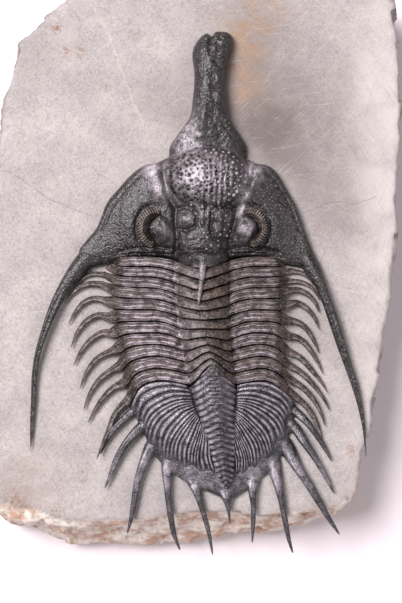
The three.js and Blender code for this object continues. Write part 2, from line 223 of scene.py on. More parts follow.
# Stains of iron, darker clouds that are partly the stone and partly painted shade, and hairline cracks healed
# with calcite, each kept as a number on the vertices.
RUST_SPOTS = [  # x, y, size, strength, as in the two tables below
    [-37.5, 65.9, 1.6, 1.0], [-35.4, 59.4, 1.3, 0.9], [-31.3, 59.4, 1.2, 0.9], [-15.7, 64.0, 1.0, 0.7],
    [-12.4, 46.4, 0.9, 0.6], [-24.0, 49.7, 1.0, 0.7], [9.7, 55.4, 0.8, 1.2], [42.1, -48.1, 1.5, 1.0],
    [-31.0, -55.4, 1.4, 0.8], [-37.8, -64.3, 1.6, 0.9], [-49.0, -62.0, 2.4, 0.6], [33.0, 12.0, 1.0, 0.3],
]
TAN_STAINS = [
    [12.5, 62.0, 6.0, 1.0], [13.0, 50.0, 6.0, 0.9], [17.0, 72.0, 8.0, 0.7], [-46.0, -58.0, 9.0, 0.4],
]
# Darker clouds: partly darker stone and partly painted shade. Those right of the snout and between the
# right-hand spines stand for the shadow the raised shell casts on the ground top.
DARK_STONE_AND_SHADE = [
    [11.0, 55.0, 10.0, 0.35], [14.0, 43.0, 12.0, 0.4], [21.0, 36.0, 15.0, 0.45], [38.0, 16.0, 12.0, 0.45],
    [30.0, 38.0, 20.0, 0.45], [24.0, 62.0, 14.0, 0.25], [14.0, 69.0, 9.0, 0.45], [31.0, -14.0, 9.0, 0.25],
    [-8.0, 47.0, 10.0, 0.3], [-46.0, 60.0, 9.0, 0.3],
]
CRACKS = [  # each as its route over the ground top
    [[-53, 28], [-46, 24.5], [-39.4, 19.4], [-33, 17.0], [-26.7, 14.6]],
    [[28.1, 15.4], [36.2, 18.9], [43, 18.4], [50.5, 21.0]],
    [[34.8, -3.5], [44.3, -5.7], [49, -5.0]],
    [[-25.1, 68], [-22.0, 60], [-19.2, 51.8], [-13.8, 38.3]],
]


def clouds(spots):
    """How strongly the soft round spots mark each vertex of the slab."""
    total = np.zeros(len(at))
    for x, y, size, strength in spots:
        total += strength * np.exp(-((at[:, 0] - x) ** 2 + (at[:, 1] - y) ** 2) / size**2)
    return total


broken = np.clip(side + step(0.3, 1.2, BED - at[:, 2]), 0, 1)
attribute(slab, "broken", broken)
attribute(slab, "rust", clouds(RUST_SPOTS))
attribute(slab, "tan", clouds(TAN_STAINS))
# The darker clouds, painted shade in part.
attribute(slab, "dark", clouds(DARK_STONE_AND_SHADE))
attribute(slab, "lower", step(-50.0, -64.0, at[:, 1] + 5 * wavy))
# Paler towards the right edge: painted light, lifting the ground top where the lamps leave it darker.
attribute(slab, "pale", 0.75 * step(36, 52, at[:, 0]))
attribute(slab, "weathered", 0.6 * step(-34, -50, at[:, 0] + 6 * wavy) * step(14, 48, at[:, 1] + 9 * wavy))
for number, line in enumerate(CRACKS):
    off, along, length = away_from(line, at)
    fade = step(0, 3, along) * step(0, 3, length - along) * (facing[:, 2] > 0.5)
    attribute(slab, f"crack_{number}", np.where(fade > 0, off / np.maximum(fade, 0.05), 9))


SCRATCH_STRETCH = 0.035  # a scratch's width, as a share of its length


def limestone():
    """Fine-grained grey limestone: matt, clouded, with the marks of sanding on its ground top."""
    material = bpy.data.materials.new("limestone_ground_and_broken")
    material.use_nodes = True
    tree = material.node_tree
    shader = tree.nodes["Principled BSDF"]
    shader.inputs["Roughness"].default_value = 0.8
    shader.inputs["IOR"].default_value = 1.5
    place = add(tree, "ShaderNodeTexCoord").outputs["Object"]
    marks = {
        name: add(tree, "ShaderNodeAttribute", attribute_name=name).outputs["Fac"]
        for name in ("broken", "rust", "tan", "dark", "lower", "pale", "weathered")
    }

    def patches(size_mm, detail, low, high, vector=place):
        """Cloudy patches of the size given: 0 where their noise is under low, and 1 over high."""
        cloud = add(
            tree, "ShaderNodeTexNoise",
            {"Vector": vector, "Scale": 1 / (size_mm * MM), "Detail": detail},
        )
        return add(
            tree, "ShaderNodeMapRange",
            {"Value": cloud.outputs["Fac"], "From Min": low, "From Max": high},
        ).outputs["Result"]

    def scratched(*sets):
        """Straight scratches in several directions: each set's turn, spacing in mm, low and high."""
        total = 0.0
        for turn, size_mm, low, high in sets:
            turned = add(
                tree, "ShaderNodeMapping",
                {"Vector": place, "Rotation": (0, 0, turn), "Scale": (1, SCRATCH_STRETCH, 1)},
                vector_type="TEXTURE",
            )
            lines = patches(size_mm, 2, low, high, turned.outputs["Vector"])
            summed = add(tree, "ShaderNodeMath", {0: total, 1: lines}, operation="ADD")
            total = summed.outputs["Value"]
        return total

    def coated(under, colour, cover, strength=1.0):
        """The colour laid over what is under it, as far as its cover and its strength go."""
        amount = add(tree, "ShaderNodeMath", {0: cover, 1: strength}, operation="MULTIPLY")
        skin = add(
            tree, "ShaderNodeMix", {0: amount.outputs["Value"], 6: under, 7: colour}, data_type="RGBA",
        )
        return skin.outputs[2]

    stone = coated(linear("#a39c9b"), linear("#b9b2b0"), patches(11, 5, 0.35, 0.65))
    stone = coated(stone, linear("#8d8685"), patches(1.6, 4, 0.45, 0.75), 0.35)
    stone = coated(stone, linear("#d8d1ce"), patches(0.5, 2, 0.48, 0.75), 0.4)
    stone = coated(stone, linear("#7b7271"), patches(0.7, 3, 0.5, 0.75), 0.5)
    # Painted shade, with darker stone: the clouds of the table above.
    stone = coated(stone, linear("#716866"), patches(12, 4, -0.35, 0.6), marks["dark"])
    stone = coated(stone, linear("#9c826c"), patches(4, 4, 0.25, 0.6), marks["tan"])
    stone = coated(stone, linear("#84563c"), patches(0.9, 3, 0.4, 0.62), marks["rust"])
    # Painted light: the paler right edge.
    stone = coated(stone, linear("#d2cbc8"), patches(9, 4, 0.2, 0.6), marks["pale"])
    scored = scratched(
        (0.75, 8, 0.6, 0.76), (-0.5, 10, 0.62, 0.78), (0.1, 9, 0.62, 0.78), (-1.2, 7, 0.62, 0.78),
    )
    stone = coated(stone, linear("#dbd4d2"), scored, 0.25)
    stone = coated(stone, linear("#7f7776"), scratched((1.2, 7, 0.57, 0.76), (-1.0, 8, 0.58, 0.76)), 0.36)

    # Each crack wanders 0.45 mm to either side of its route and fades out 0.2 mm from its middle.
    wander = add(
        tree, "ShaderNodeMath", {0: patches(2.5, 4, 0.2, 0.8), 1: 0.9, 2: -0.45}, operation="MULTIPLY_ADD",
    )
    for number in range(len(CRACKS)):
        route = add(tree, "ShaderNodeAttribute", attribute_name=f"crack_{number}")
        strayed = add(
            tree, "ShaderNodeMath", {0: route.outputs["Fac"], 1: wander.outputs["Value"]}, operation="ADD",
        )
        gap = add(tree, "ShaderNodeMath", {0: strayed.outputs["Value"]}, operation="ABSOLUTE")
        line = add(
            tree, "ShaderNodeMapRange",
            {"Value": gap.outputs["Value"], "From Min": 0.03, "From Max": 0.2, "To Min": 0.5, "To Max": 0.0},
        )
        colour = linear("#cfc8c4" if number > 1 else "#75696a")
        stone = coated(stone, colour, line.outputs["Result"])

    crust = coated(linear("#f3e9df"), linear("#c6a18b"), patches(5.5, 5, 0.42, 0.6))
    crust = coated(crust, linear("#f4ebe2"), patches(1.8, 4, 0.48, 0.68), 0.8)
    crust = coated(crust, linear("#8f7060"), patches(1.1, 4, 0.52, 0.72), 0.6)
    lip = coated(linear("#b7afac"), linear("#9d9493"), patches(6.0, 5, 0.36, 0.64))
    lip = coated(lip, linear("#7e7474"), patches(1.4, 4, 0.5, 0.75), 0.5)
    lip = coated(lip, linear("#6c5d62"), marks["weathered"])
    stone = coated(stone, coated(lip, crust, marks["lower"]), marks["broken"])
    tree.links.new(stone, shader.inputs["Base Color"])

    tooth = add(
        tree, "ShaderNodeMath", {0: scored, 1: -0.3, 2: patches(0.5, 3, 0.2, 0.8)}, operation="MULTIPLY_ADD",
    )
    relief = add(
        tree, "ShaderNodeBump",
        {"Height": tooth.outputs["Value"], "Strength": 0.35, "Distance": 0.12 * MM},
    )
    tree.links.new(relief.outputs["Normal"], shader.inputs["Normal"])
    return material


finish_piece(slab, ["limestone_slab"], limestone())

# ---- Thorax ----
# Eleven plates of calcite shell that hinged on each other in life. Each arches over the axis as a ring,
# lies flat on the flanks with two ridges and a furrow between, and ends in a spine swept to the rear.
SEGMENTS = 11
SEAM = 0.06  # open joint between neighbouring plates


def crest_line(i):
    return 0.7 - 3.07 * i + 0.07 * i * i


def furrow_line(i):
    return 2.7 - 3.02 * i


def flank_line(i):
    return 4.1 - 2.72 * i - 0.028 * i * i


MIDLINE = np.array([
    [4.6, 64], [3.5, 46.4], [3.0, 24], [3.0, 15.4], [1.9, 5.9], [1.5, -0.8], [1.6, -8.9],
    [2.2, -14.3], [3.1, -19.7], [4.2, -24.3], [5.4, -31.9], [6.2, -40], [7, -48.1], [8, -58.1], [9.2, -68],
])


def midline(y):
    return np.interp(-np.asarray(y, float), -MIDLINE[:, 1], MIDLINE[:, 0])


def drape(name, across, along, place):
    """A sheet of quads laid by place(u, v), which gives x, y, z in mm; edges that meet are welded.

    A fourth column is how polished the shell is there and how much painted highlight it carries, from 0 to 1.
    """
    bpy.ops.object.select_all(action="DESELECT")
    bpy.ops.mesh.primitive_grid_add(x_subdivisions=across, y_subdivisions=along, size=1)
    piece = bpy.context.object
    piece.name = name
    flat = positions(piece) * MM
    u = np.round((flat[:, 0] + 0.5) * across) / across
    v = np.round((flat[:, 1] + 0.5) * along) / along
    laid = place(u, v)
    move_to(piece, laid[:, :3])
    if laid.shape[1] > 3:
        attribute(piece, "gloss_and_highlight", laid[:, 3])
    bpy.ops.object.mode_set(mode="EDIT")
    bpy.ops.mesh.select_all(action="SELECT")
    bpy.ops.mesh.remove_doubles(threshold=0.004 * MM)
    bpy.ops.mesh.select_all(action="DESELECT")
    bpy.ops.mesh.select_non_manifold()
    bpy.ops.mesh.fill_holes(sides=0)
    bpy.ops.mesh.select_all(action="SELECT")
    bpy.ops.mesh.normals_make_consistent(inside=False)
    bpy.ops.object.mode_set(mode="OBJECT")
    return piece


def through(points, t, even=False):
    """Smooth curve through rows of numbers; t runs from 0 at the first row to 1 at the last.

    It runs at an even pace along the curve, or from row to row at an even pace.
    """
    points = np.array(points, float)
    gaps = np.ones(len(points) - 1) if even else np.hypot(*np.diff(points[:, :2], axis=0).T)
    knots = np.concatenate([[0], np.cumsum(gaps)]) / gaps.sum()
    slopes = np.gradient(points, knots, axis=0)
    k = np.clip(np.searchsorted(knots, t, side="right") - 1, 0, len(knots) - 2)
    span = knots[k + 1] - knots[k]
    s = ((t - knots[k]) / span)[:, None]
    span = span[:, None]
    return (
        (2 * s**3 - 3 * s**2 + 1) * points[k]
        + (s**3 - 2 * s**2 + s) * span * slopes[k]
        + (3 * s**2 - 2 * s**3) * points[k + 1]
        + (s**3 - s**2) * span * slopes[k + 1]
    )


# Each spine's route from the plate's edge to the tip, on the -X side and then on the +X side.
THORAX_SPINES = [
    [
        [[-22.0, 2.9], [-22.4, 2.8], [-22.8, 2.7]],
        [[-23.3, 1.1], [-23.8, 1.0], [-24.4, 0.9]],
        [[-24.6, -0.7], [-27.8, -0.6], [-30.2, -1.6], [-32.2, -3.8]],
        [[-24.8, -3.6], [-28.1, -3.2], [-31.3, -4.1], [-33.6, -6.2], [-35.1, -8.6]],
        [[-24.3, -7.9], [-26.9, -7.2], [-30.0, -8.1], [-32.5, -10.8], [-34.4, -14.2]],
        [[-23.8, -12.2], [-26.1, -11.7], [-29.2, -13.0], [-31.9, -16.2], [-33.7, -20.4]],
        [[-23.2, -16.6], [-24.8, -16.4], [-28.1, -18.1], [-30.8, -21.1], [-33.0, -25.3]],
        [[-22.1, -21.1], [-26.4, -23.2], [-29.2, -26.5], [-31.3, -31.5]],
        [[-20.8, -25.4], [-22.9, -26.6], [-26.2, -29.2], [-28.8, -33.2], [-30.3, -37.2]],
        [[-19.7, -30.0], [-22.2, -31.2], [-24.8, -33.7], [-27.4, -37.4], [-29.1, -40.7]],
        [[-18.4, -34.6], [-21.2, -37.4], [-23.8, -43.2], [-26.7, -50.4]],
    ],
    [
        [[23.4, 2.6], [23.8, 2.4], [24.2, 2.2]],
        [[25.6, 0.3], [28.9, -0.5], [30.4, -1.7], [31.6, -3.6]],
        [[24.8, -2.5], [28.1, -2.7], [30.8, -3.9], [32.3, -5.6], [33.4, -7.8]],
        [[24.3, -5.2], [27.0, -4.8], [29.4, -5.6], [32.0, -8.2], [33.2, -11.0]],
        [[24.5, -8.8], [27.0, -8.3], [29.4, -9.5], [31.9, -12.4], [33.1, -15.6]],
        [[24.6, -13.0], [27.5, -13.6], [30.0, -15.7], [31.7, -18.6], [33.2, -22.0]],
        [[24.7, -17.2], [27.6, -17.9], [30.8, -21.1], [32.7, -24.2], [34.2, -27.5]],
        [[25.0, -21.6], [27.4, -22.7], [31.6, -27.0], [33.8, -29.8], [35.3, -32.4]],
        [[25.2, -25.2], [28.1, -27.0], [32.1, -31.0], [34.4, -34.2], [36.0, -37.4]],
        [[25.4, -29.0], [28.9, -31.3], [32.1, -35.1], [33.7, -38.2], [34.8, -41.6]],
        [[26.2, -33.2], [29.4, -35.9], [32.1, -40.0], [34.2, -46.0]],
    ],
]
AXIS_HALF = [7.3, 6.4]  # half width of the ring, at the first segment and at the last
AXIS_TOP = [8.9, 7.9]
FURROW_TOP = 3.6
FLANK_TOP = 4.9
FLANK_REACH = 13.0
EDGE_TOP = 2.3
SPINE_HALF = 0.82
LOW_SPINES = 3  # the first spines keep low and pass under the cheek spines
EDGE_AT = 0.66  # how far out the plate ends and its free spine begins, of 1 at the tip
# How far out each of five places is, of 1 at the plate's edge: the midline, the furrow beside the
# ring, the flat of the flank, the bend down, and the edge.
PLACES_OUT = [0, 0.34, 0.62, 0.86, 1]
LINE_STEPS = 241  # points on a line between two plates
LINE_BLUR = 25  # how many of them its corners are rounded over, to either side
TOP_SHARE = 0.8  # share of a plate's rows that pass over its top; the rest return underneath
PLEURA_RIDGES = [  # place across the plate from its rear edge, width, height, polish and painted highlight
    [0.09, 0.05, 0.26, 0.35], [0.29, 0.08, 0.46, 1.0], [0.49, 0.045, 0.2, 0.1], [0.68, 0.06, 0.36, 0.8],
    [0.88, 0.05, 0.26, 0.3],
]


def plate_line(i, hand):
    """Line i between two plates as a smooth run of x, y from the midline to the plates' edge."""
    way = 1 if hand else -1
    half = np.interp(i, [0, SEGMENTS], AXIS_HALF)
    centre = midline(crest_line(i))
    fulcrum = 21.6 if hand else -20.8 + 4.6 * (max(i - 4, 0) / 6) ** 1.4
    roots = [np.array(route[0], float) for route in THORAX_SPINES[hand]]
    roots = [2 * roots[0] - roots[1], *roots, 2 * roots[-1] - roots[-2]]
    edge = (roots[i] + roots[i + 1]) / 2
    share = np.linspace(0, 4, LINE_STEPS)
    flat = flank_line(i)
    stops = [centre, centre + way * half, centre + way * FLANK_REACH, fulcrum, edge[0]]
    x = np.interp(share, range(5), stops)
    y = crest_line(i) + (furrow_line(i) - crest_line(i)) * step(0, 1, share)
    y += (flat - furrow_line(i)) * np.sqrt(np.clip(share - 1, 0, 1))
    y += (edge[1] - flat) * np.clip((share - 2.4) / 1.6, 0, 1) ** 1.5
    kernel = np.hanning(2 * LINE_BLUR + 1)
    kernel /= kernel.sum()
    beyond = ((LINE_BLUR, LINE_BLUR), (0, 0))
    ends = np.pad(np.column_stack([x, y]), beyond, mode="reflect", reflect_type="odd")
    return np.column_stack([np.convolve(ends[:, k], kernel, "valid") for k in (0, 1)])


PLATE_LINES = [[plate_line(i, hand) for i in range(SEGMENTS + 1)] for hand in (0, 1)]


def segment_half(i, hand, out):
    """Middle, side vector, half width, which of the five places it is at, and place along the spine."""
    share = np.interp(out / EDGE_AT, PLACES_OUT, range(5))
    steps = np.linspace(0, 4, LINE_STEPS)
    front, rear = [
        np.column_stack([np.interp(share, steps, PLATE_LINES[hand][k][:, axis]) for axis in (0, 1)])
        for k in (i, i + 1)
    ]
    side = front - rear
    width = np.hypot(side[:, 0], side[:, 1])
    side /= width[:, None]
    run = np.clip((out - EDGE_AT) / (1 - EDGE_AT), 0, 1)
    route = THORAX_SPINES[hand][i]
    along = through(route, np.clip(run + 0.02, 0, 1)) - through(route, np.clip(run - 0.02, 0, 1))
    way = 1 if hand else -1
    across = np.column_stack([-way * along[:, 1], way * along[:, 0]])
    across /= np.hypot(across[:, 0], across[:, 1])[:, None]
    on_spine = (out > EDGE_AT)[:, None]
    middle = np.where(on_spine, through(route, run), (front + rear) / 2)
    turn = step(EDGE_AT - 0.03, EDGE_AT + 0.05, out)[:, None]
    side = side * (1 - turn) + across * turn
    side /= np.hypot(side[:, 0], side[:, 1])[:, None]
    thin = 0.8 if i < LOW_SPINES else 1.0
    spine_half = SPINE_HALF * thin * np.clip(1 - run**1.7, 0, 1) ** 0.8 + 0.05
    shoulder = (1 - np.clip((out - EDGE_AT + 0.05) / 0.12, 0, 1)) ** 2.0
    half = spine_half + ((width - SEAM) / 2 - spine_half) * shoulder
    return middle, side, half, share, run


def thoracic_segment(i):
    rng = np.random.default_rng(100 + i)
    uneven = rng.uniform(-1, 1, 6)
    axis_top = np.interp(i, [0, SEGMENTS], AXIS_TOP)

    def place(u, v):
        out = np.abs(2 * u - 1)
        on_right = u > 0.5
        halves = segment_half(i, 0, out), segment_half(i, 1, out)
        middle, side, half, share, run = [
            np.where(on_right[:, None] if a.ndim > 1 else on_right, b, a) for a, b in zip(*halves)
        ]
        low = i < LOW_SPINES
        rise = (0.75 if low else 1.4) - (0.0 if low else 0.5) * run
        if i == SEGMENTS - 1:  # its left spine passes over the tail's first
            rise = rise + 1.3 * step(0.3, 0.9, run) * (~on_right)
        freed = step(EDGE_AT - 0.06, EDGE_AT + 0.05, out)
        edge_top = 1.5 if low else EDGE_TOP
        arch = np.sqrt(np.clip(1 - share**2, 0, 1)) ** 0.85
        shoulder_top = 3.3 if i < 2 else 4.1
        plate_top = np.interp(
            share, [1.0, 1.12, 1.3, 2.3, 2.8, 3.2, 4.0],
            [FURROW_TOP, 4.3, FLANK_TOP, FLANK_TOP - 0.1, FLANK_TOP - 0.3, shoulder_top, edge_top],
        )
        plate_top = np.where(share < 1, FURROW_TOP + (axis_top - FURROW_TOP) * arch, plate_top)
        top = plate_top * (1 - freed) + (rise + half) * freed
        over = np.clip(v / TOP_SHARE, 0, 1)
        back = np.clip((v - TOP_SHARE) / (1 - TOP_SHARE), 0, 1)
        across = 0.65 * (2 * over - 1) - 0.35 * np.cos(math.pi * over)
        crown = np.sqrt(np.clip(1 - np.abs(across) ** (26 - 24 * freed), 0, 1))
        across = np.where(v > TOP_SHARE, np.cos(math.pi * back), across)
        t = (across + 1) / 2
        on_axis = step(1.05, 0.92, share)
        on_flank = (1 - on_axis) * (1 - freed)
        waver = 0.03 * np.sin(share * 5 + 9 * uneven[0]) + 0.02 * np.sin(share * 13 + 9 * uneven[1])
        t_flank = t + waver * (1 - on_axis)
        ridges, polish_and_highlight = 0, 0
        for (centre, width, height, shine), shift in zip(PLEURA_RIDGES, uneven):
            crest = (1 + 0.3 * shift) * bump(t_flank, centre + 0.025 * shift, width)
            ridges = ridges + height * crest
            polish_and_highlight = polish_and_highlight + shine * crest
        ringed = 0.55 * (0.5 - t) - 0.55 * step(0.78, 0.95, t) - 0.3 * bump(t, 0.72, 0.06)
        knob = bump(share, 1.0, 0.09) * bump(t, 0.36, 0.2)
        groove = -0.22 * bump(across, 0.0, 0.3) * np.clip(1 - run, 0, 1)
        detail = ringed * on_axis + (ridges - 0.3) * on_flank + 0.6 * knob + groove * freed
        # Painted highlight, stronger on the left side that faces the lamp: the flanks' ridges, the knobs
        # beside the axis, the axis's left half and one side of each spine are painted paler.
        facing_light = step(0.35, -0.35, np.where(on_right, share, -share))
        gloss_and_highlight = polish_and_highlight * on_flank * step(3.3, 2.7, share) * np.where(on_right, 0.85, 1.6)
        gloss_and_highlight = gloss_and_highlight + knob * np.where(on_right, 0.4, 0.9) + 0.17 * facing_light * on_axis
        gloss_and_highlight = gloss_and_highlight + freed * 0.3 * bump(across, -0.3, 0.3)
        floor = -0.25 * (1 - freed) + np.maximum(rise - half, -0.25) * freed
        waist = -0.25 * (1 - freed) + rise * freed
        z_top = waist + (top - waist) * crown + detail * step(0.0, 0.4, crown)
        z = np.where(v > TOP_SHARE, waist + (floor - waist) * np.sin(math.pi * back), z_top)
        return np.column_stack([middle + side * (half * across)[:, None], BED + z, gloss_and_highlight])

    segment = drape(f"thoracic_segment_{i + 1:02d}_shell", 300, 60, place)
    at = positions(segment)
    wear = grain(at, 1.6, 3, 4.0 + i)
    streaks = grain(at * [0.28, 1, 1], 0.8, 3, 20.0)
    at[:, 2] += np.where(at[:, 2] > BED + 1.5, 0.10, 0.0) * (wear + streaks)
    move_to(segment, at)
    gloss_and_highlight = segment.data.attributes["gloss_and_highlight"].data
    values = np.empty(len(at))
    gloss_and_highlight.foreach_get("value", values)
    gloss_and_highlight.foreach_set("value", values * np.clip(0.8 + 1.2 * streaks, 0.15, 1.7))
    return segment


def shell(name, dark, light, crest, flecks_and_glints, roughness, lustre, granule_mm, granule_depth):
    """Fossil shell: dark dense calcite, cleaned with air tools and waxed, with painted highlights in its
    paler crest colour and more gloss where they lie.
    """
    material = bpy.data.materials.new(name)
    material.use_nodes = True
    tree = material.node_tree
    shader = tree.nodes["Principled BSDF"]
    shader.inputs["IOR"].default_value = 1.6
    shader.inputs["Specular IOR Level"].default_value = lustre
    place = add(tree, "ShaderNodeTexCoord").outputs["Object"]
    cloud = add(tree, "ShaderNodeTexNoise", {"Vector": place, "Scale": 1 / (1.8 * MM), "Detail": 6.0})
    fine = add(tree, "ShaderNodeTexNoise", {"Vector": place, "Scale": 1 / (0.45 * MM), "Detail": 4.0})
    tone = add(tree, "ShaderNodeValToRGB", {"Fac": cloud.outputs["Fac"]})
    tone.color_ramp.elements[0].position = 0.36
    tone.color_ramp.elements[0].color = linear(dark)
    tone.color_ramp.elements[1].position = 0.64
    tone.color_ramp.elements[1].color = linear(light)
    patchy = add(
        tree, "ShaderNodeMapRange",
        {"Value": cloud.outputs["Fac"], "From Min": 0.38, "From Max": 0.56, "To Min": 0.3, "To Max": 1.0},
    )
    gloss_and_highlight = add(tree, "ShaderNodeAttribute", attribute_name="gloss_and_highlight")
    # Painted highlight: the crest colour is laid on in patches where the vertices' number for it is high; the
    # same number lowers the roughness.
    bright = add(
        tree, "ShaderNodeMath", {0: gloss_and_highlight.outputs["Fac"], 1: patchy.outputs["Result"]},
        operation="MULTIPLY", use_clamp=True,
    )
    # Pale flecks in the crest colour: partly matrix left in the pores, partly painted glints.
    fleck = add(
        tree, "ShaderNodeMapRange",
        {"Value": fine.outputs["Fac"], "From Min": 0.57, "From Max": 0.68, "To Min": 0.0, "To Max": flecks_and_glints},
    )
    either = add(
        tree, "ShaderNodeMath", {0: bright.outputs["Value"], 1: fleck.outputs["Result"]},
        operation="ADD", use_clamp=True,
    )
    skin = add(
        tree, "ShaderNodeMix",
        {0: either.outputs["Value"], 6: tone.outputs["Color"], 7: linear(crest)}, data_type="RGBA",
    )
    tree.links.new(skin.outputs[2], shader.inputs["Base Color"])
    gloss = add(
        tree, "ShaderNodeMapRange",
        {"Value": fine.outputs["Fac"], "From Min": 0.3, "From Max": 0.7,
         "To Min": roughness - 0.06, "To Max": roughness + 0.18},
    )
    polished = add(
        tree, "ShaderNodeMath", {0: gloss_and_highlight.outputs["Fac"], 1: -0.28, 2: gloss.outputs["Result"]},
        operation="MULTIPLY_ADD", use_clamp=True,
    )
    tree.links.new(polished.outputs["Value"], shader.inputs["Roughness"])
    grains = add(
        tree, "ShaderNodeTexVoronoi", {"Vector": place, "Scale": 1 / (granule_mm * MM)}, feature="SMOOTH_F1",
    )
    relief = add(
        tree, "ShaderNodeBump",
        {"Height": grains.outputs["Distance"], "Strength": 0.7, "Distance": granule_depth * MM},
        invert=True,
    )
    rough = add(
        tree, "ShaderNodeBump",
        {"Height": fine.outputs["Fac"], "Normal": relief.outputs["Normal"],
         "Strength": 0.8, "Distance": 0.22 * MM},
    )
    tree.links.new(rough.outputs["Normal"], shader.inputs["Normal"])
    return material


# The third colour, the crest, is the painted highlight colour.
thorax_shell = shell("calcite_shell_brown_grey", "#221c1a", "#55483f", "#b9afb8", 0.35, 0.42, 0.4, 0.42, 0.06)
for i in range(SEGMENTS):
    segment = thoracic_segment(i)
    finish_piece(segment, [f"thoracic_segment_{i + 1:02d}"], thorax_shell)

# ---- Tail shield ----
# Segments fused into one plate, with a ringed axis, ribs that fan across the flanks, a smooth border,
# and five pairs of flattened spines with one at the end. It is one piece of shell.
TAIL_VOXEL = 0.25
TAIL_OUTLINE = [  # distance back, edge on the -X side, edge on the +X side, height
    [-30.6, -13.2, 21.4, 2.2], [-32.6, -15.2, 23.8, 2.4], [-36.2, -17.0, 26.2, 2.5],
    [-40.0, -15.9, 26.2, 2.5], [-44.0, -13.9, 25.2, 2.5], [-49.5, -11.2, 23.0, 2.4],
    [-54.0, -6.6, 19.6, 2.3], [-57.6, -1.2, 14.8, 2.2], [-59.6, 4.0, 12.2, 2.0], [-61.0, 7.2, 10.2, 1.8],
]
# Each spine as x, y, half width and height of its middle, from inside the border to the tip.
TAIL_SPINES = [
    [[-14.6, -37.0, 1.6, 1.9], [-17.0, -37.8, 1.3, 1.8], [-20.0, -40.2, 1.0, 1.6], [-22.8, -43.2, 0.9, 1.4],
     [-24.6, -46.4, 0.6, 1.1], [-25.8, -49.4, 0.27, 1.0]],
    [[-12.0, -40.6, 1.9, 2.0], [-14.9, -42.1, 1.6, 2.0], [-16.7, -43.7, 1.3, 2.0], [-19.4, -47.0, 1.05, 1.9],
     [-21.6, -51.0, 0.9, 1.7], [-23.2, -55.1, 0.6, 1.5], [-24.7, -58.6, 0.27, 1.3]],
    [[-9.6, -44.6, 2.5, 2.0], [-11.9, -47.2, 2.1, 2.0], [-13.8, -50.8, 1.4, 2.0], [-15.7, -56.2, 1.05, 1.9],
     [-16.6, -61.6, 0.9, 1.7], [-17.6, -67.0, 0.6, 1.5], [-18.6, -70.8, 0.27, 1.3]],
    [[-6.4, -48.6, 2.6, 2.0], [-7.5, -52.2, 2.0, 2.0], [-7.8, -55.6, 1.25, 2.0], [-7.6, -59.4, 0.95, 1.9],
     [-6.8, -65.6, 0.9, 1.7], [-5.9, -70.5, 0.75, 1.5], [-4.1, -75.3, 0.27, 1.3]],
    [[-1.6, -53.0, 2.5, 2.0], [-0.8, -56.2, 1.9, 2.0], [0.3, -59.4, 1.15, 2.0], [1.6, -63.5, 0.85, 1.8],
     [3.2, -69.1, 0.7, 1.6], [4.6, -76.6, 0.27, 1.3]],
    [[8.0, -56.6, 3.2, 1.9], [8.1, -59.4, 2.1, 1.9], [8.4, -61.8, 1.05, 1.9], [8.8, -64.4, 0.55, 1.8],
     [9.2, -68.0, 0.27, 1.5]],
    [[16.4, -53.0, 2.5, 2.0], [15.4, -56.2, 1.9, 2.0], [15.2, -59.4, 1.15, 2.0], [15.4, -62.5, 0.8, 1.8],
     [15.4, -67.0, 0.7, 1.6], [15.1, -73.3, 0.27, 1.3]],
    [[20.4, -49.6, 2.6, 2.0], [21.2, -53.2, 2.0, 2.0], [22.1, -57.5, 1.25, 2.0], [23.0, -61.6, 0.95, 1.9],
     [24.0, -67.0, 0.85, 1.7], [25.1, -72.4, 0.6, 1.5], [26.2, -76.1, 0.27, 1.3]],
    [[23.0, -45.0, 2.5, 2.0], [25.2, -48.6, 2.1, 2.0], [27.5, -52.9, 1.4, 2.0], [30.0, -56.7, 1.15, 1.9],
     [32.9, -61.6, 1.0, 1.7], [36.2, -67.0, 0.7, 1.5], [38.9, -71.1, 0.27, 1.3]],
    [[24.4, -40.2, 1.9, 2.0], [26.7, -42.1, 1.5, 2.0], [28.9, -45.4, 1.25, 2.0], [31.6, -49.4, 0.95, 1.8],
     [34.3, -54.0, 0.75, 1.6], [37.2, -59.8, 0.27, 1.3]],
    [[24.4, -36.0, 1.6, 1.9], [27.0, -37.8, 1.25, 1.8], [29.4, -40.0, 1.0, 1.7], [32.1, -43.5, 0.8, 1.6],
     [34.6, -47.3, 0.65, 1.4], [36.5, -51.1, 0.27, 1.2]],
]


def spine(name, stations, steps=60, sides=16, flatness=0.85, sink=0.0):
    """A tapering spine, a little flattened, with its tip closed to a point and its root sunk."""
    def place(u, v):
        at_u = through(stations, u)
        ahead = through(stations, np.clip(u + 0.01, 0, 1))
        behind = through(stations, np.clip(u - 0.01, 0, 1))
        way = (ahead - behind)[:, :2]
        way /= np.hypot(way[:, 0], way[:, 1])[:, None]
        across = np.column_stack([way[:, 1], -way[:, 0]])
        half = at_u[:, 2] * np.sqrt(np.clip((1.0001 - u) / 0.03, 0, 1)) * step(-0.08, 0.06, u)
        angle = 2 * math.pi * v
        xy = at_u[:, :2] + across * (half * np.cos(angle))[:, None]
        middle = np.minimum(at_u[:, 3], at_u[:, 3] + 1.2 - flatness * at_u[:, 2]) - sink * step(0.4, 0.0, u)
        z = np.maximum(middle + flatness * half * np.sin(angle), -0.3)
        return np.column_stack([xy, BED + z])

    return drape(name, steps, sides, place)


def plate_across(name, stations, squareness, columns, rows, sideways=False):
    """A low closed plate, flat underneath, from stations of y, two edges in x, and height.

    A sideways plate's stations run along x instead, with their edges in y.
    """
    table = np.array(stations, float)

    def place(u, v):
        along, low, high, top = through(table, u).T
        angle = 2 * math.pi * v
        c, s = np.cos(angle), np.sin(angle)
        across = (low + high) / 2 + (high - low) / 2 * np.sign(c) * np.abs(c) ** squareness
        z = np.where(s > 0, np.abs(s) ** squareness * top, -0.3)
        return np.column_stack([along, across, BED + z] if sideways else [across, along, BED + z])

    return drape(name, columns, rows, place)


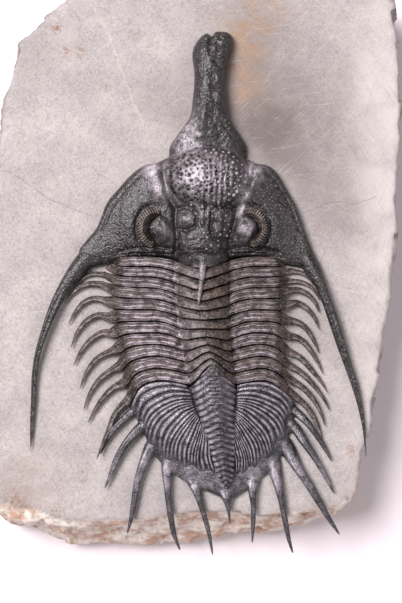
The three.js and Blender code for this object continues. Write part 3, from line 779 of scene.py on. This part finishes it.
def ridge_along(name, stations, squareness=0.8, columns=60, rows=32):
    """A ridge along the midline from stations of y, middle x, half width and height."""
    table = np.array(stations, float)

    def place(u, v):
        y, x0, half, top = through(table, u).T
        angle = 2 * math.pi * v
        c, s = np.cos(angle), np.sin(angle)
        x = x0 + half * np.sign(c) * np.abs(c) ** squareness
        z = np.where(s > 0, np.abs(s) ** squareness * top, -0.3)
        return np.column_stack([x, y, BED + z])

    return drape(name, columns, rows, place)


def join(name, pieces):
    select_only(*pieces)
    bpy.ops.object.join()
    whole = bpy.context.object
    whole.name = name
    return whole


TAIL_AXIS = [
    [-24.1, 4.3, 0.9, 7.3], [-25.5, 4.5, 2.6, 7.6], [-27.5, 4.7, 4.2, 7.6], [-29.2, 4.8, 5.4, 7.6],
    [-31.2, 4.9, 6.0, 7.5], [-36, 5.4, 5.5, 7.1], [-40, 6.0, 5.0, 6.6], [-44, 6.7, 4.4, 6.1],
    [-48, 7.2, 3.8, 5.6], [-52, 7.7, 3.0, 5.0], [-55.5, 8.0, 2.2, 4.2], [-58.2, 8.2, 0.9, 2.8],
]
RING_PITCH = [2.1, 1.25]  # front and rear of the tail's axis

plate = plate_across("tail_plate", TAIL_OUTLINE, 0.55, 70, 48)
parts = [plate] + [spine(f"tail_spine_{k}", s, sink=1.3) for k, s in enumerate(TAIL_SPINES)]
tail = join("tail_shield_shell", parts)
remesh(tail, TAIL_VOXEL)
soften(tail, 8)

at = positions(tail)
facing = normals(tail)
up = step(0.1, 0.6, facing[:, 2])
# Painted highlight, with polish: the border's upward faces and one side of each spine are painted paler.
gloss_and_highlight = (0.04 + 0.3 * step(-49.0, -52.0, at[:, 1]) * step(-60.0, -57.0, at[:, 1])) * up
for stations in TAIL_SPINES:
    line = through(stations, np.linspace(0.0, 1, 30))
    off, along, length = away_from(line[:, :2], at)
    out = along / length
    half = np.interp(out, np.linspace(0, 1, 30), line[:, 2])
    inside = bump(off, 0, np.maximum(0.38 * half, 0.1)) * step(0.02, 0.2, out) * step(1.0, 0.85, out)
    at[:, 2] -= up * 0.2 * inside * (np.abs(off) < half)
    gloss_and_highlight += 0.16 * up * bump(off, -0.2 * half, 0.4 * half) * (np.abs(off) < half)
    gloss_and_highlight += 0.5 * up * bump(off, -0.35 * half, 0.3 * half) * bump(out, 0.22, 0.14)
move_to(tail, at)
attribute(tail, "gloss_and_highlight", np.clip(gloss_and_highlight, 0, 1))

# The flanks: each rib leaves the furrow beside the axis, runs outward and bends round to the rear. The
# rows give the start, middle and end of a rib, from the front of the shield to the back.
FANS = [
    [
        [[-0.6, -31.6], [-12.4, -31.3], [-16.2, -36.7]], [[-0.6, -33.2], [-10.8, -34.4], [-14.8, -41.4]],
        [[-0.4, -34.8], [-9.0, -37.6], [-12.8, -45.8]], [[0.0, -36.2], [-7.0, -40.6], [-9.8, -49.0]],
        [[0.5, -37.5], [-4.8, -43.2], [-6.6, -51.0]], [[1.1, -38.8], [-2.6, -45.2], [-3.8, -52.2]],
        [[1.7, -40.2], [-0.4, -46.8], [-1.0, -53.0]], [[2.4, -41.8], [1.6, -48.2], [1.8, -53.8]],
        [[3.4, -44.2], [4.0, -49.8], [5.4, -54.6]],
    ],
    [
        [[10.4, -31.6], [21.3, -30.8], [25.4, -35.4]], [[10.3, -33.2], [20.2, -33.8], [25.0, -40.0]],
        [[10.2, -34.8], [18.9, -37.0], [23.6, -44.4]], [[10.2, -36.2], [17.4, -40.0], [21.2, -48.0]],
        [[10.1, -37.6], [16.0, -42.8], [18.8, -50.6]], [[10.0, -39.0], [14.6, -45.0], [16.4, -52.2]],
        [[9.9, -40.6], [13.2, -47.0], [14.4, -53.4]], [[9.9, -42.4], [11.9, -48.8], [12.4, -54.2]],
        [[9.8, -45.0], [10.6, -51.0], [10.6, -54.8]],
    ],
]
RIBS = 21
FLANK_PROFILE = [  # share of the way out, height at the front, height at the back
    [0.0, 3.8, 3.2], [0.05, 4.6, 3.9], [0.15, 5.1, 4.3], [0.5, 5.0, 4.0], [0.75, 4.3, 3.3], [0.9, 3.2, 2.7],
    [1.0, 2.1, 2.1],
]


def flank_sheet(name, hand):
    fan = np.array(FANS[hand])
    profile = np.array(FLANK_PROFILE)
    front = PLATE_LINES[hand][SEGMENTS]

    def rib_at(u, r):
        near, middle, far = [through(fan[:, k], u, True) for k in range(3)]
        bend = 2 * middle - (near + far) / 2
        r = r[:, None]
        return (1 - r) ** 2 * near + 2 * r * (1 - r) * bend + r**2 * far

    def place(u, v):
        over = np.clip(v / 0.92, 0, 1)
        steps = np.linspace(0, 4, len(front))
        last = np.column_stack([np.interp(1 + 3 * over, steps, front[:, k]) for k in (0, 1)])
        near_front = (np.clip(1 - u / 0.16, 0, 1) ** 2)[:, None]
        reach = over * (0.98 + 0.04 * np.sin(2 * math.pi * 5 * u))
        xy = rib_at(u, reach) + (last - [0, SEAM] - rib_at(0 * u, over)) * near_front
        low = np.interp(over, profile[:, 0], profile[:, 1])
        high = np.interp(over, profile[:, 0], profile[:, 2])
        phase = u * RIBS + 0.15 * np.sin(9 * over + 3 * u) + 0.22 * np.sin(23 * u + 2 * over)
        wave = np.abs(np.sin(math.pi * phase)) ** 0.7
        strength = 0.4 + 0.14 * np.cos(math.pi * phase)
        edge = step(1.0, 0.72, over) * step(0, 0.06, over)
        z = low + (high - low) * u + strength * (wave - 0.6) * edge
        hidden = (u <= 0) | (u >= 1) | (v <= 0) | (v > 0.92)
        z = np.where(hidden, 0.6, z)
        # Painted highlight along the crest of each rib and on the border.
        crests = 0.85 * np.clip(wave * 3.2 - 2.2, 0, 1) ** 1.5 * step(1.0, 0.8, over)
        gloss_and_highlight = crests + 0.03 + 0.2 * step(0.86, 1.0, over)
        return np.column_stack([xy, BED + z, gloss_and_highlight])

    return drape(name, 380, 40, place)


left_flank = flank_sheet("tail_flank_left", 0)
right_flank = flank_sheet("tail_flank_right", 1)

axis = ridge_along("tail_axis", TAIL_AXIS, 0.75, 360, 48)
at = positions(axis)
table = np.array(TAIL_AXIS, float)[::-1]
behind = -25.0 - at[:, 1]
centre = np.interp(at[:, 1], table[:, 0], table[:, 1])
spread = np.abs(at[:, 0] - centre) / np.interp(at[:, 1], table[:, 0], table[:, 2])
chevron = behind - (1.3 + 3.1 * step(24, 2, behind)) * np.clip(spread, 0, 1.2)
phase = chevron / (RING_PITCH[0] + (RING_PITCH[1] - RING_PITCH[0]) * np.clip(behind / 34, 0, 1) * 0.5)
saw = phase - np.floor(phase)
ring = step(0, 0.35, saw) * step(1.0, 0.7, saw)
relief = 0.75 * ring - 0.4 + 0.45 * ring * bump(spread, 0.8, 0.14)
at[:, 2] += (at[:, 2] > BED + 0.5) * relief * step(34, 30, behind)
move_to(axis, at)
# Painted highlight on the rings and their end knobs, twice as strong on the left side that faces the lamp.
lit = np.where(at[:, 0] < centre, 1.2, 0.6)
attribute(axis, "gloss_and_highlight", np.clip(0.05 + lit * (0.8 * ring * bump(spread, 0.8, 0.22) + 0.22 * ring), 0, 1))

ribs = join("tail_shield_ribs", [left_flank, right_flank, axis])
# The third colour, the crest, is the painted highlight colour.
tail_shell = shell("calcite_shell_blue_grey", "#0d0b0c", "#231f21", "#a59ca7", 0.26, 0.28, 0.55, 0.42, 0.06)
for piece in (tail, ribs):
    finish_piece(piece, ["tail_shield"], tail_shell)

# ---- Head shield ----
# One plate of thick shell: the snout-like process in front, the swollen and pustuled glabella on the
# midline, the eyes on the cheeks beside it, and a long spine swept back from each cheek corner.
HEAD_VOXEL = 0.27
HEAD_OUTLINE = [  # x, rear edge, front edge, height
    [-31.4, -0.4, 6.2, 2.6], [-28.8, 0.8, 9.4, 3.0], [-26.6, 1.4, 12.2, 3.2], [-24.2, 1.9, 18.2, 3.4],
    [-21.0, 3.0, 22.3, 4.0], [-17.3, 3.9, 26.3, 5.2], [-14.3, 4.0, 28.5, 5.8], [-10.3, 4.0, 29.5, 6.2],
    [-7.0, 3.4, 30.9, 6.4], [-4.5, 2.6, 31.1, 6.4], [1.9, 1.0, 31.2, 6.4], [7.5, 2.6, 31.1, 6.4],
    [10.0, 3.4, 31.0, 6.4], [13.0, 4.0, 30.7, 6.2], [16.4, 4.0, 29.2, 5.9], [19.0, 3.8, 28.8, 5.2],
    [21.8, 2.6, 26.7, 4.4], [24.5, 1.7, 22.2, 3.6], [27.0, 1.3, 17.6, 3.2], [28.8, 0.8, 12.4, 3.2],
    [30.4, -0.8, 8.2, 3.0], [31.8, -2.2, 5.0, 2.6],
]
ROSTRUM = [  # y, middle x, half width, height, as in the two rows of lobes below
    [28, 3.0, 10.0, 6.6], [34.3, 3.3, 10.1, 6.2], [36.4, 3.4, 8.8, 6.6], [38.6, 3.5, 7.2, 7.0],
    [41.5, 3.7, 5.5, 7.0], [46.5, 3.8, 4.7, 6.6], [51, 3.8, 4.3, 6.0], [55, 4.0, 4.6, 5.8],
    [57.5, 4.0, 5.0, 5.6], [60, 4.5, 5.3, 5.2], [62.4, 5.2, 4.7, 4.5], [63.8, 5.7, 3.8, 3.6],
    [64.5, 6.0, 2.6, 2.6],
]
FRONTAL_LOBE = [3.0, 24.6, 3.4, 10.8, 8.9, 8.9]  # its middle, and its half sizes
EYES = [[-10.6, 11.6], [14.0, 11.6]]
REAR_LOBE = [[20, 3, 7.6, 8.6], [15, 2.7, 7.0, 8.4], [10, 2.2, 6.4, 8.4], [6.0, 1.9, 6.4, 8.2]]
NECK_SPINE = [  # x, y, half width, height of its middle, as the cheek spines
    [1.9, 4.6, 1.2, 8.6], [1.8, 0.6, 0.95, 9.0], [1.4, -3.2, 0.7, 9.2], [0.9, -6.8, 0.5, 9.3],
    [0.6, -9.2, 0.3, 9.2],
]
NECK_RING = [[5.6, 1.9, 7.1, 8.8], [3.8, 1.8, 7.3, 9.5], [1.0, 1.7, 5.6, 8.6]]
CHEEK_SPINES = [
    [[-27.6, 5.6, 2.6, 2.6], [-31.2, 1.4, 2.5, 2.4], [-34.7, -3.2, 1.8, 2.6], [-37.8, -8.9, 1.4, 2.6],
     [-40.5, -15.7, 1.05, 2.4], [-42.3, -21.3, 0.85, 2.2], [-43.3, -26.6, 0.8, 1.6], [-43.8, -34.6, 0.7, 1.2],
     [-44.3, -43.0, 0.5, 0.9], [-44.6, -48.9, 0.1, 1.0]],
    [[29.2, 5.2, 2.4, 2.6], [31.2, 0.9, 2.3, 2.6], [33.4, -3.4, 1.6, 2.8], [35.0, -7.6, 1.4, 2.8],
     [36.9, -13.0, 1.4, 2.7], [38.6, -18.4, 1.3, 2.5], [40.4, -23.8, 1.1, 2.0], [42.7, -30.5, 0.95, 1.6],
     [44.1, -35.9, 0.7, 1.3], [45.1, -41.3, 0.5, 1.0], [45.9, -51.2, 0.1, 1.0]],
]


def ball(name, x, y, z, rx, ry, rz):
    bpy.ops.object.select_all(action="DESELECT")
    bpy.ops.mesh.primitive_uv_sphere_add(segments=64, ring_count=40, radius=1)
    piece = bpy.context.object
    piece.name = name
    at = positions(piece) * MM * [rx, ry, rz] + [x, y, BED + z]
    at[:, 2] = np.maximum(at[:, 2], BED - 0.3)
    move_to(piece, at)
    return piece


parts = [
    plate_across("head_plate", HEAD_OUTLINE, 0.6, 110, 48, sideways=True),
    ridge_along("rostrum", ROSTRUM, 0.8, 90, 40),
    ridge_along("rear_lobe", REAR_LOBE),
    ridge_along("neck_ring", NECK_RING),
    ball("frontal_lobe", *FRONTAL_LOBE),
    *[ball("eye_mound", x - 0.9 * np.sign(x), y, 2.4, 4.9, 5.6, 5.0) for x, y in EYES],
    *[spine("cheek_spine", s, 110, 20, 1.0) for s in CHEEK_SPINES],
    spine("neck_spine", NECK_SPINE, 50, 12, 0.8),
]
head = join("head_shield_shell", parts)
remesh(head, HEAD_VOXEL)
soften(head, 5)


def scatter(rng, centre, reach, spacing, tries):
    """Places in an ellipse, each at least the spacing from the rest."""
    kept = []
    for _ in range(tries):
        p = rng.uniform(-1, 1, 2)
        if np.hypot(*p) > 1:
            continue
        p = np.array(centre) + p * reach
        if all(np.hypot(*(p - q)) > spacing for q in kept):
            kept.append(p)
    return kept


# Relief worked into the skin. Lines are lists of x, y, with a width and a depth, or a height if negative.
at = positions(head)
facing = normals(head)
up = step(0.05, 0.5, facing[:, 2])
HEAD_GROOVES = [
    [[[-8.6, 31.5], [-8.7, 26.0], [-7.6, 20.4], [-5.4, 16.9], [-5.5, 12.7], [-5.0, 8.6], [-5.6, 4.0]],
     0.75, 1.5],
    [[[12.6, 33.0], [14.4, 28.0], [14.3, 24.6], [12.4, 19.4], [11.0, 16.7], [10.2, 12.7], [9.0, 8.6],
      [8.9, 4.0]], 0.75, 1.5],
    [[[-4.9, 16.6], [-3.0, 17.2], [-1.0, 16.8], [0.2, 14.6], [-0.4, 11.8], [-2.6, 10.9], [-4.8, 11.6]],
     0.45, 1.3],
    [[[10.6, 16.4], [8.6, 17.5], [6.2, 17.4], [4.2, 15.8], [3.9, 12.0], [4.4, 9.2]], 0.45, 1.3],
    [[[3.6, 8.8], [6.0, 8.4], [8.8, 8.7]], 0.4, 0.9],
    [[[-4.8, 8.3], [-2.4, 8.0], [-0.2, 8.2]], 0.4, 0.7],
    [[[-5.6, 5.7], [-1.5, 5.2], [2.0, 5.6], [5.5, 5.2], [9.0, 5.8]], 0.45, 1.1],
    [[[2.1, 22.5], [2.4, 19.5], [2.4, 16.0], [2.6, 12.5]], 0.4, 0.9],
    [[[-1.8, 18.0], [0.4, 17.2], [1.5, 15.2], [1.7, 12.0]], 0.35, -0.55],
    [[[-21.5, 5.0], [-16.5, 6.3], [-10.5, 6.6], [-6.0, 6.0]], 0.5, 0.9],
    [[[9.6, 6.0], [13.0, 6.6], [18.0, 6.2], [23.0, 4.8]], 0.5, 0.9],
    [[[-22.5, 4.2], [-16.5, 5.0], [-6.4, 4.8]], 0.25, 0.35],
    [[[9.4, 4.8], [17.0, 5.0], [24.0, 3.6]], 0.25, 0.35],
    [[[-25.3, 10.6], [-22.9, 16.6], [-19.8, 20.8], [-16.4, 24.5], [-13.6, 27.0], [-10.4, 28.2]], 0.45, 0.4],
    [[[28.0, 10.6], [25.8, 16.4], [23.2, 21.2], [20.6, 25.3], [18.4, 27.3], [15.6, 28.8]], 0.45, 0.4],
]
for line, width, depth in HEAD_GROOVES:
    off, along, length = away_from(line, at)
    ends = step(0, 0.8, along) * step(0, 0.8, length - along)
    at[:, 2] -= up * depth * bump(off, 0, width) * (0.3 + 0.7 * ends)
HEAD_SWELLS = [  # x, y, radius, height, polish and painted highlight
    [-11.2, 27.0, 3.0, 1.6, 0.9], [-9.8, 21.4, 2.3, 1.7, 0.9], [15.6, 26.8, 2.6, 1.6, 0.8],
    [12.6, 20.6, 1.9, 1.8, 0.5], [-2.7, 13.8, 1.9, 1.7, 0.35], [6.3, 14.6, 2.0, 1.5, 0.1],
    [6.4, 10.8, 1.8, 1.3, 0.1], [-2.6, 8.4, 1.8, 1.2, 0.15], [-1.8, 3.2, 1.4, 0.9, 0.0],
    [2.0, 15.0, 1.2, 0.7, 0.6], [-18.5, 14.0, 5.0, 0.8, 0.0], [22.5, 14.0, 5.0, 0.8, 0.0],
    [13.4, 11.2, 2.2, 0.9, 0.8], [-8.2, 10.6, 1.8, 0.6, 0.25],
]
for x, y, radius, height, _ in HEAD_SWELLS:
    at[:, 2] += up * height * bump(np.hypot(at[:, 0] - x, at[:, 1] - y), 0, radius)
off, _, _ = away_from([[2.9, 30.0], [3.2, 42.0], [3.8, 52.0], [4.4, 60.0]], at)
width = np.interp(at[:, 1], [30, 40, 47, 55, 62], [3.4, 2.4, 1.5, 1.4, 1.8])
snout = step(31.5, 34.5, at[:, 1])
at[:, 2] -= snout * up * 0.35 * bump(off, -0.9 * width, 0.8 * width)
at[:, 2] += snout * up * (0.26 * grain(at, 1.4, 4, 8.0) + 0.25 * grain(at, 4.0, 2, 9.0))
keel, along, length = away_from([[1.6, 31.0], [1.3, 36.0], [1.6, 40.0], [3.0, 46.0]], at)
at[:, 2] += up * 0.45 * bump(keel, 0, 0.8) * step(0, 3, along) * step(0, 4, length - along)
notch, along, length = away_from([[4.0, 66.0], [4.0, 61.5], [3.4, 57.0]], at)
at[:, 2] -= up * 0.9 * bump(notch, 0, 0.6) * step(0, 4, length - along)
at[:, 1] -= 1.3 * step(61.0, 64.0, at[:, 1]) * bump(at[:, 0], 4.2, 0.7)
for stations in CHEEK_SPINES:
    line = through(stations, np.linspace(0.15, 1, 40))
    off, along, length = away_from(line[:, :2], at)
    half = np.interp(along / length, np.linspace(0, 1, 40), line[:, 2])
    ends = step(0.0, 0.2, along / length) * step(1.0, 0.9, along / length)
    at[:, 2] -= up * 0.4 * bump(off, 0, 0.3 * half + 0.05) * ends
rng = np.random.default_rng(7)
pitted = np.zeros(len(at))
for x, y in scatter(rng, (-0.8, 25.0), (6.4, 6.8), 0.85, 500):
    pit = bump(np.hypot(at[:, 0] - x, at[:, 1] - y), 0, rng.uniform(0.2, 0.42))
    pitted = np.maximum(pitted, pit)
at[:, 2] -= up * 0.6 * pitted
rows = np.sin(2 * math.pi * (at[:, 0] + 0.5 * grain(at, 3.0, 2, 15.0)) / 1.5)
rows *= bump(np.hypot((at[:, 0] - 6.0) / 0.8, at[:, 1] - 23.5), 0, 5.0)
rows *= 1.0 + 0.9 * grain(at * [1, 0.7, 1], 1.1, 2, 18.0)
at[:, 2] += up * 0.5 * rows
lump = grain(at, 1.3, 3, 2.0)
coarse = np.ones(len(at))  # the grain is coarser round the eyes
for x, y in EYES:
    ring = np.hypot(at[:, 0] - x, (at[:, 1] - y) * 0.88)
    outer = step(-0.5, 1.5, (at[:, 0] - x) * np.sign(x))
    at[:, 2] -= up * 0.9 * bump(ring, 5.4, 0.7) * outer
    at[:, 2] -= up * 0.8 * bump(ring, 2.7, 0.7) * outer
    coarse += 4.0 * bump(ring, 0, 4.0)
at[:, 2] += up * 0.07 * lump * coarse
move_to(head, at)
# Painted highlights, with polish: the swells, the snout's left facet and the glabella's left half, which face
# the lamp, the crests of the rows, the ridge by the right eye and the neck are painted paler; the pits get
# none.
gloss_and_highlight = 0.03 + sum(
    polish_and_highlight * bump(np.hypot(at[:, 0] - x, at[:, 1] - y), 0, 0.9 * radius)
    for x, y, radius, _, polish_and_highlight in HEAD_SWELLS
)
gloss_and_highlight += 0.65 * bump(np.hypot(at[:, 0] + 2.2, (at[:, 1] - 37.0) / 1.4), 0, 3.8) * step(2.8, 0.4, at[:, 0])
gloss_and_highlight += 1.1 * bump(np.hypot((at[:, 0] - 0.4) / 1.1, at[:, 1] - 25.2), 0, 5.2) * (1 - pitted)
gloss_and_highlight += 0.8 * np.clip(rows, 0, 1)
gloss_and_highlight += 0.4 * step(3.0, 1.0, at[:, 1]) * step(3.0, 1.5, np.abs(at[:, 0] - 1.4))
ridge, _, _ = away_from([[13.6, 25.0], [12.6, 21.0], [11.6, 15.0]], at)
gloss_and_highlight += 0.7 * bump(ridge, 0, 0.7)
gloss_and_highlight -= 0.9 * pitted
attribute(head, "gloss_and_highlight", np.clip(gloss_and_highlight, 0, 1) * up)


def beads(name, spots, segments=8, rings=5):
    """Small domes, each given as x, y, z, radius, flatness and the polish and painted highlight of its tip,
    made as one object.
    """
    bpy.ops.object.select_all(action="DESELECT")
    bpy.ops.mesh.primitive_uv_sphere_add(segments=segments, ring_count=rings, radius=1)
    bead = bpy.context.object
    bead.name = name
    shape = positions(bead) * MM
    faces = [tuple(p.vertices) for p in bead.data.polygons]
    count = len(shape)
    spots = np.array(spots, float)
    scale = np.column_stack([spots[:, 3], spots[:, 3], spots[:, 3] * spots[:, 4]])
    places = (shape[None] * scale[:, None] + spots[:, None, :3]).reshape(-1, 3) * MM
    every = [tuple(v + k * count for v in face) for k in range(len(spots)) for face in faces]
    bead.data.clear_geometry()
    bead.data.from_pydata(places.tolist(), [], every)
    bead.data.update()
    # The top of each dome is painted paler, a painted highlight.
    attribute(bead, "gloss_and_highlight", np.outer(spots[:, 5], step(-0.2, 0.7, shape[:, 2])).ravel())
    return bead


def lay_on(piece, places):
    """Height of the piece's top above each place, taken from its nearest vertex."""
    skin = positions(piece)
    skin = skin[normals(piece)[:, 2] > 0.05]
    heights = []
    for x, y in places:
        gap = np.hypot(skin[:, 0] - x, skin[:, 1] - y)
        heights.append(skin[np.argmin(gap), 2] if gap.min() < 0.3 else 0.0)
    return heights


EYE_CLEARANCE = 5.6
GRANULES_FROM = 2.2  # height above the bed where the granules begin
pustules = [p for p in scatter(rng, (3.0, 24.4), (10.4, 8.6), 1.12, 6000) if p[0] > rng.uniform(0, 5)]
sizes = rng.uniform(0.3, 0.6, len(pustules))
rear = [p for p in scatter(rng, (2.5, 12.5), (6.8, 6.6), 1.2, 900) if p[0] > 0.5 or p[1] > 12]
pustules += rear
sizes = np.concatenate([sizes, rng.uniform(0.26, 0.45, len(rear))])
# The last number of each is the painted highlight on its tip.
spots = [[x, y, z + 0.02, r, 0.95, 0.1 + r] for (x, y), z, r in zip(pustules, lay_on(head, pustules), sizes)]
granules = []
for cheek in ((-18.0, 14.0), (22.0, 14.0)):
    granules += scatter(rng, cheek, (7.5, 10.5), 0.85, 2200)
granules += scatter(rng, (3.0, 37.0), (7.0, 5.0), 1.1, 500)
granules = [p for p in granules if all(np.hypot(p[0] - x, p[1] - y) > EYE_CLEARANCE for x, y in EYES)]
heights = lay_on(head, granules)
radii = rng.uniform(0.14, 0.3, len(granules))
spots += [
    [x, y, z - 0.04, r, 0.8, 0.25]
    for (x, y), z, r in zip(granules, heights, radii) if z > BED + GRANULES_FROM
]
pimples = beads("head_shield_pustules", spots)
# The third colour, the crest, is the painted highlight colour.
head_shell = shell("calcite_shell_granular", "#0b0808", "#231c1c", "#bcb2b9", 0.22, 0.3, 0.46, 0.55, 0.2)
for piece in (head, pimples):
    finish_piece(piece, ["head_shield"], head_shell)

# The eyes: each stands on its mound in the shield, as a curved wall set with rows of lenses.
EYE_TOP, EYE_FOOT = 8.4, 5.2
EYE_INNER, EYE_OUTER = 3.5, 4.9
EYE_LENGTH = 1.12  # how much longer the eye is than it is wide
LENS_ROWS = 4
LENS_SPACING = 0.66
LENS_RADIUS = 0.21
WALL_SHARE = 0.7  # share of the wall's rows that are seen; the rest close it underneath


def eye_wall(u, over):
    """The wall's radius and height: u runs along it, and over from its top to its foot."""
    taper = np.sqrt(np.clip(1 - np.abs(2 * u - 1) ** 4, 0, 1))
    r = EYE_INNER + (EYE_OUTER - EYE_INNER) * np.sin(over * math.pi / 2) ** 1.2
    z = EYE_FOOT + (EYE_TOP - EYE_FOOT) * np.cos(over * math.pi / 2) ** 0.8 * (0.4 + 0.6 * taper)
    return r * (0.9 + 0.1 * taper), z


def eye_band(name, x, y, start, end):
    """The curved wall that carries the lenses, from the angle start to the angle end."""
    def place(u, v):
        angle = np.radians(start + (end - start) * u)
        r, z = eye_wall(u, np.clip(v / WALL_SHARE, 0, 1))
        back = np.clip((v - WALL_SHARE) / (1 - WALL_SHARE), 0, 1)
        r = np.where(v > WALL_SHARE, EYE_OUTER + (EYE_INNER - EYE_OUTER) * back, r)
        z = np.where(v > WALL_SHARE, EYE_FOOT - 0.6, z)
        return np.column_stack([x + r * np.cos(angle), y + EYE_LENGTH * r * np.sin(angle), BED + z])

    return drape(name, 80, 24, place)


def eye_lenses(x, y, start, end):
    """Rows of small round lenses, each row set half a step from the next."""
    spots = []
    for row in range(LENS_ROWS):
        over = 0.15 + 0.2 * row
        widest, _ = eye_wall(0.5, over)
        steps = int(math.radians(abs(end - start)) * widest / LENS_SPACING)
        for k in range(1, steps):
            u = (k + 0.5 * (row % 2)) / steps
            if u > 0.96:
                continue
            r, z = eye_wall(u, over)
            angle = math.radians(start + (end - start) * u)
            across, along = r * math.cos(angle), EYE_LENGTH * r * math.sin(angle)
            # Each lens carries a painted glint on its top.
            spots.append([x + across, y + along, BED + z, LENS_RADIUS, 1.0, 0.9])
    return beads("lenses", spots, 8, 6)


# The third colour, the crest, is the painted glint colour of the lenses.
eye_shell = shell("calcite_lens_brown", "#231d1a", "#3d342f", "#9f9289", 0.3, 0.36, 0.4, 0.4, 0.04)
for hand, (x, y), (start, end) in zip(("left", "right"), EYES, ((70, 265), (110, -85))):
    band = eye_band("eye_band", x, y, start, end)
    eye = join(f"eye_{hand}", [band, eye_lenses(x, y, start, end)])
    finish_piece(eye, ["head_shield"], eye_shell)

# ---- Floor, light and camera ----
# A plain pale sheet under soft studio light from the upper left, seen from straight above.
bpy.ops.object.select_all(action="DESELECT")
bpy.ops.mesh.primitive_plane_add(size=4)
floor = bpy.context.object
floor.name = "studio_floor"
# Uncoated paper: pale and even, with no shine, so that the slab's shadow lies soft on it.
paper = bpy.data.materials.new("matt_pale_paper")
paper.use_nodes = True
paper.node_tree.nodes["Principled BSDF"].inputs["Base Color"].default_value = linear("#efe8ec")
paper.node_tree.nodes["Principled BSDF"].inputs["Roughness"].default_value = 0.9
floor.data.materials.append(paper)


def lamp(name, size, power, place, aim, colour="#ffffff"):
    bpy.ops.object.light_add(type="AREA", location=place)
    light = bpy.context.object
    light.name = name
    light.data.shape = "DISK"
    light.data.size = size
    light.data.energy = power
    light.data.color = linear(colour)[:3]
    light.rotation_euler = (Vector(aim) - Vector(place)).to_track_quat("-Z", "Y").to_euler()


middle = (0.0, 0.0, 0.02)
lamp("window", 0.7, 24.0, (-0.58, 0.40, 1.06), middle, "#fffafc")
lamp("fill", 1.6, 5.5, (0.9, -0.3, 1.0), middle)
world = bpy.data.worlds.new("studio")
world.use_nodes = True
world.node_tree.nodes["Background"].inputs["Color"].default_value = linear("#fbeff4")
world.node_tree.nodes["Background"].inputs["Strength"].default_value = 0.25
bpy.context.scene.world = world
bpy.context.scene.view_settings.view_transform = "Standard"

VIEW_CENTRE = (1.35, -7.97)
VIEW_HEIGHT = 162.8  # what the camera takes in from top to bottom at the bed's height
LENS = 90
SENSOR = 36
bpy.ops.object.camera_add()
camera = bpy.context.object
camera.data.lens = LENS
camera.data.sensor_width = SENSOR
rise = VIEW_HEIGHT / 2 * LENS / (SENSOR / 2)
camera.location = (VIEW_CENTRE[0] * MM, VIEW_CENTRE[1] * MM, (BED + rise) * MM)
camera.rotation_euler = (0, 0, 0)
camera.data.clip_start = 0.01
bpy.context.scene.camera = camera
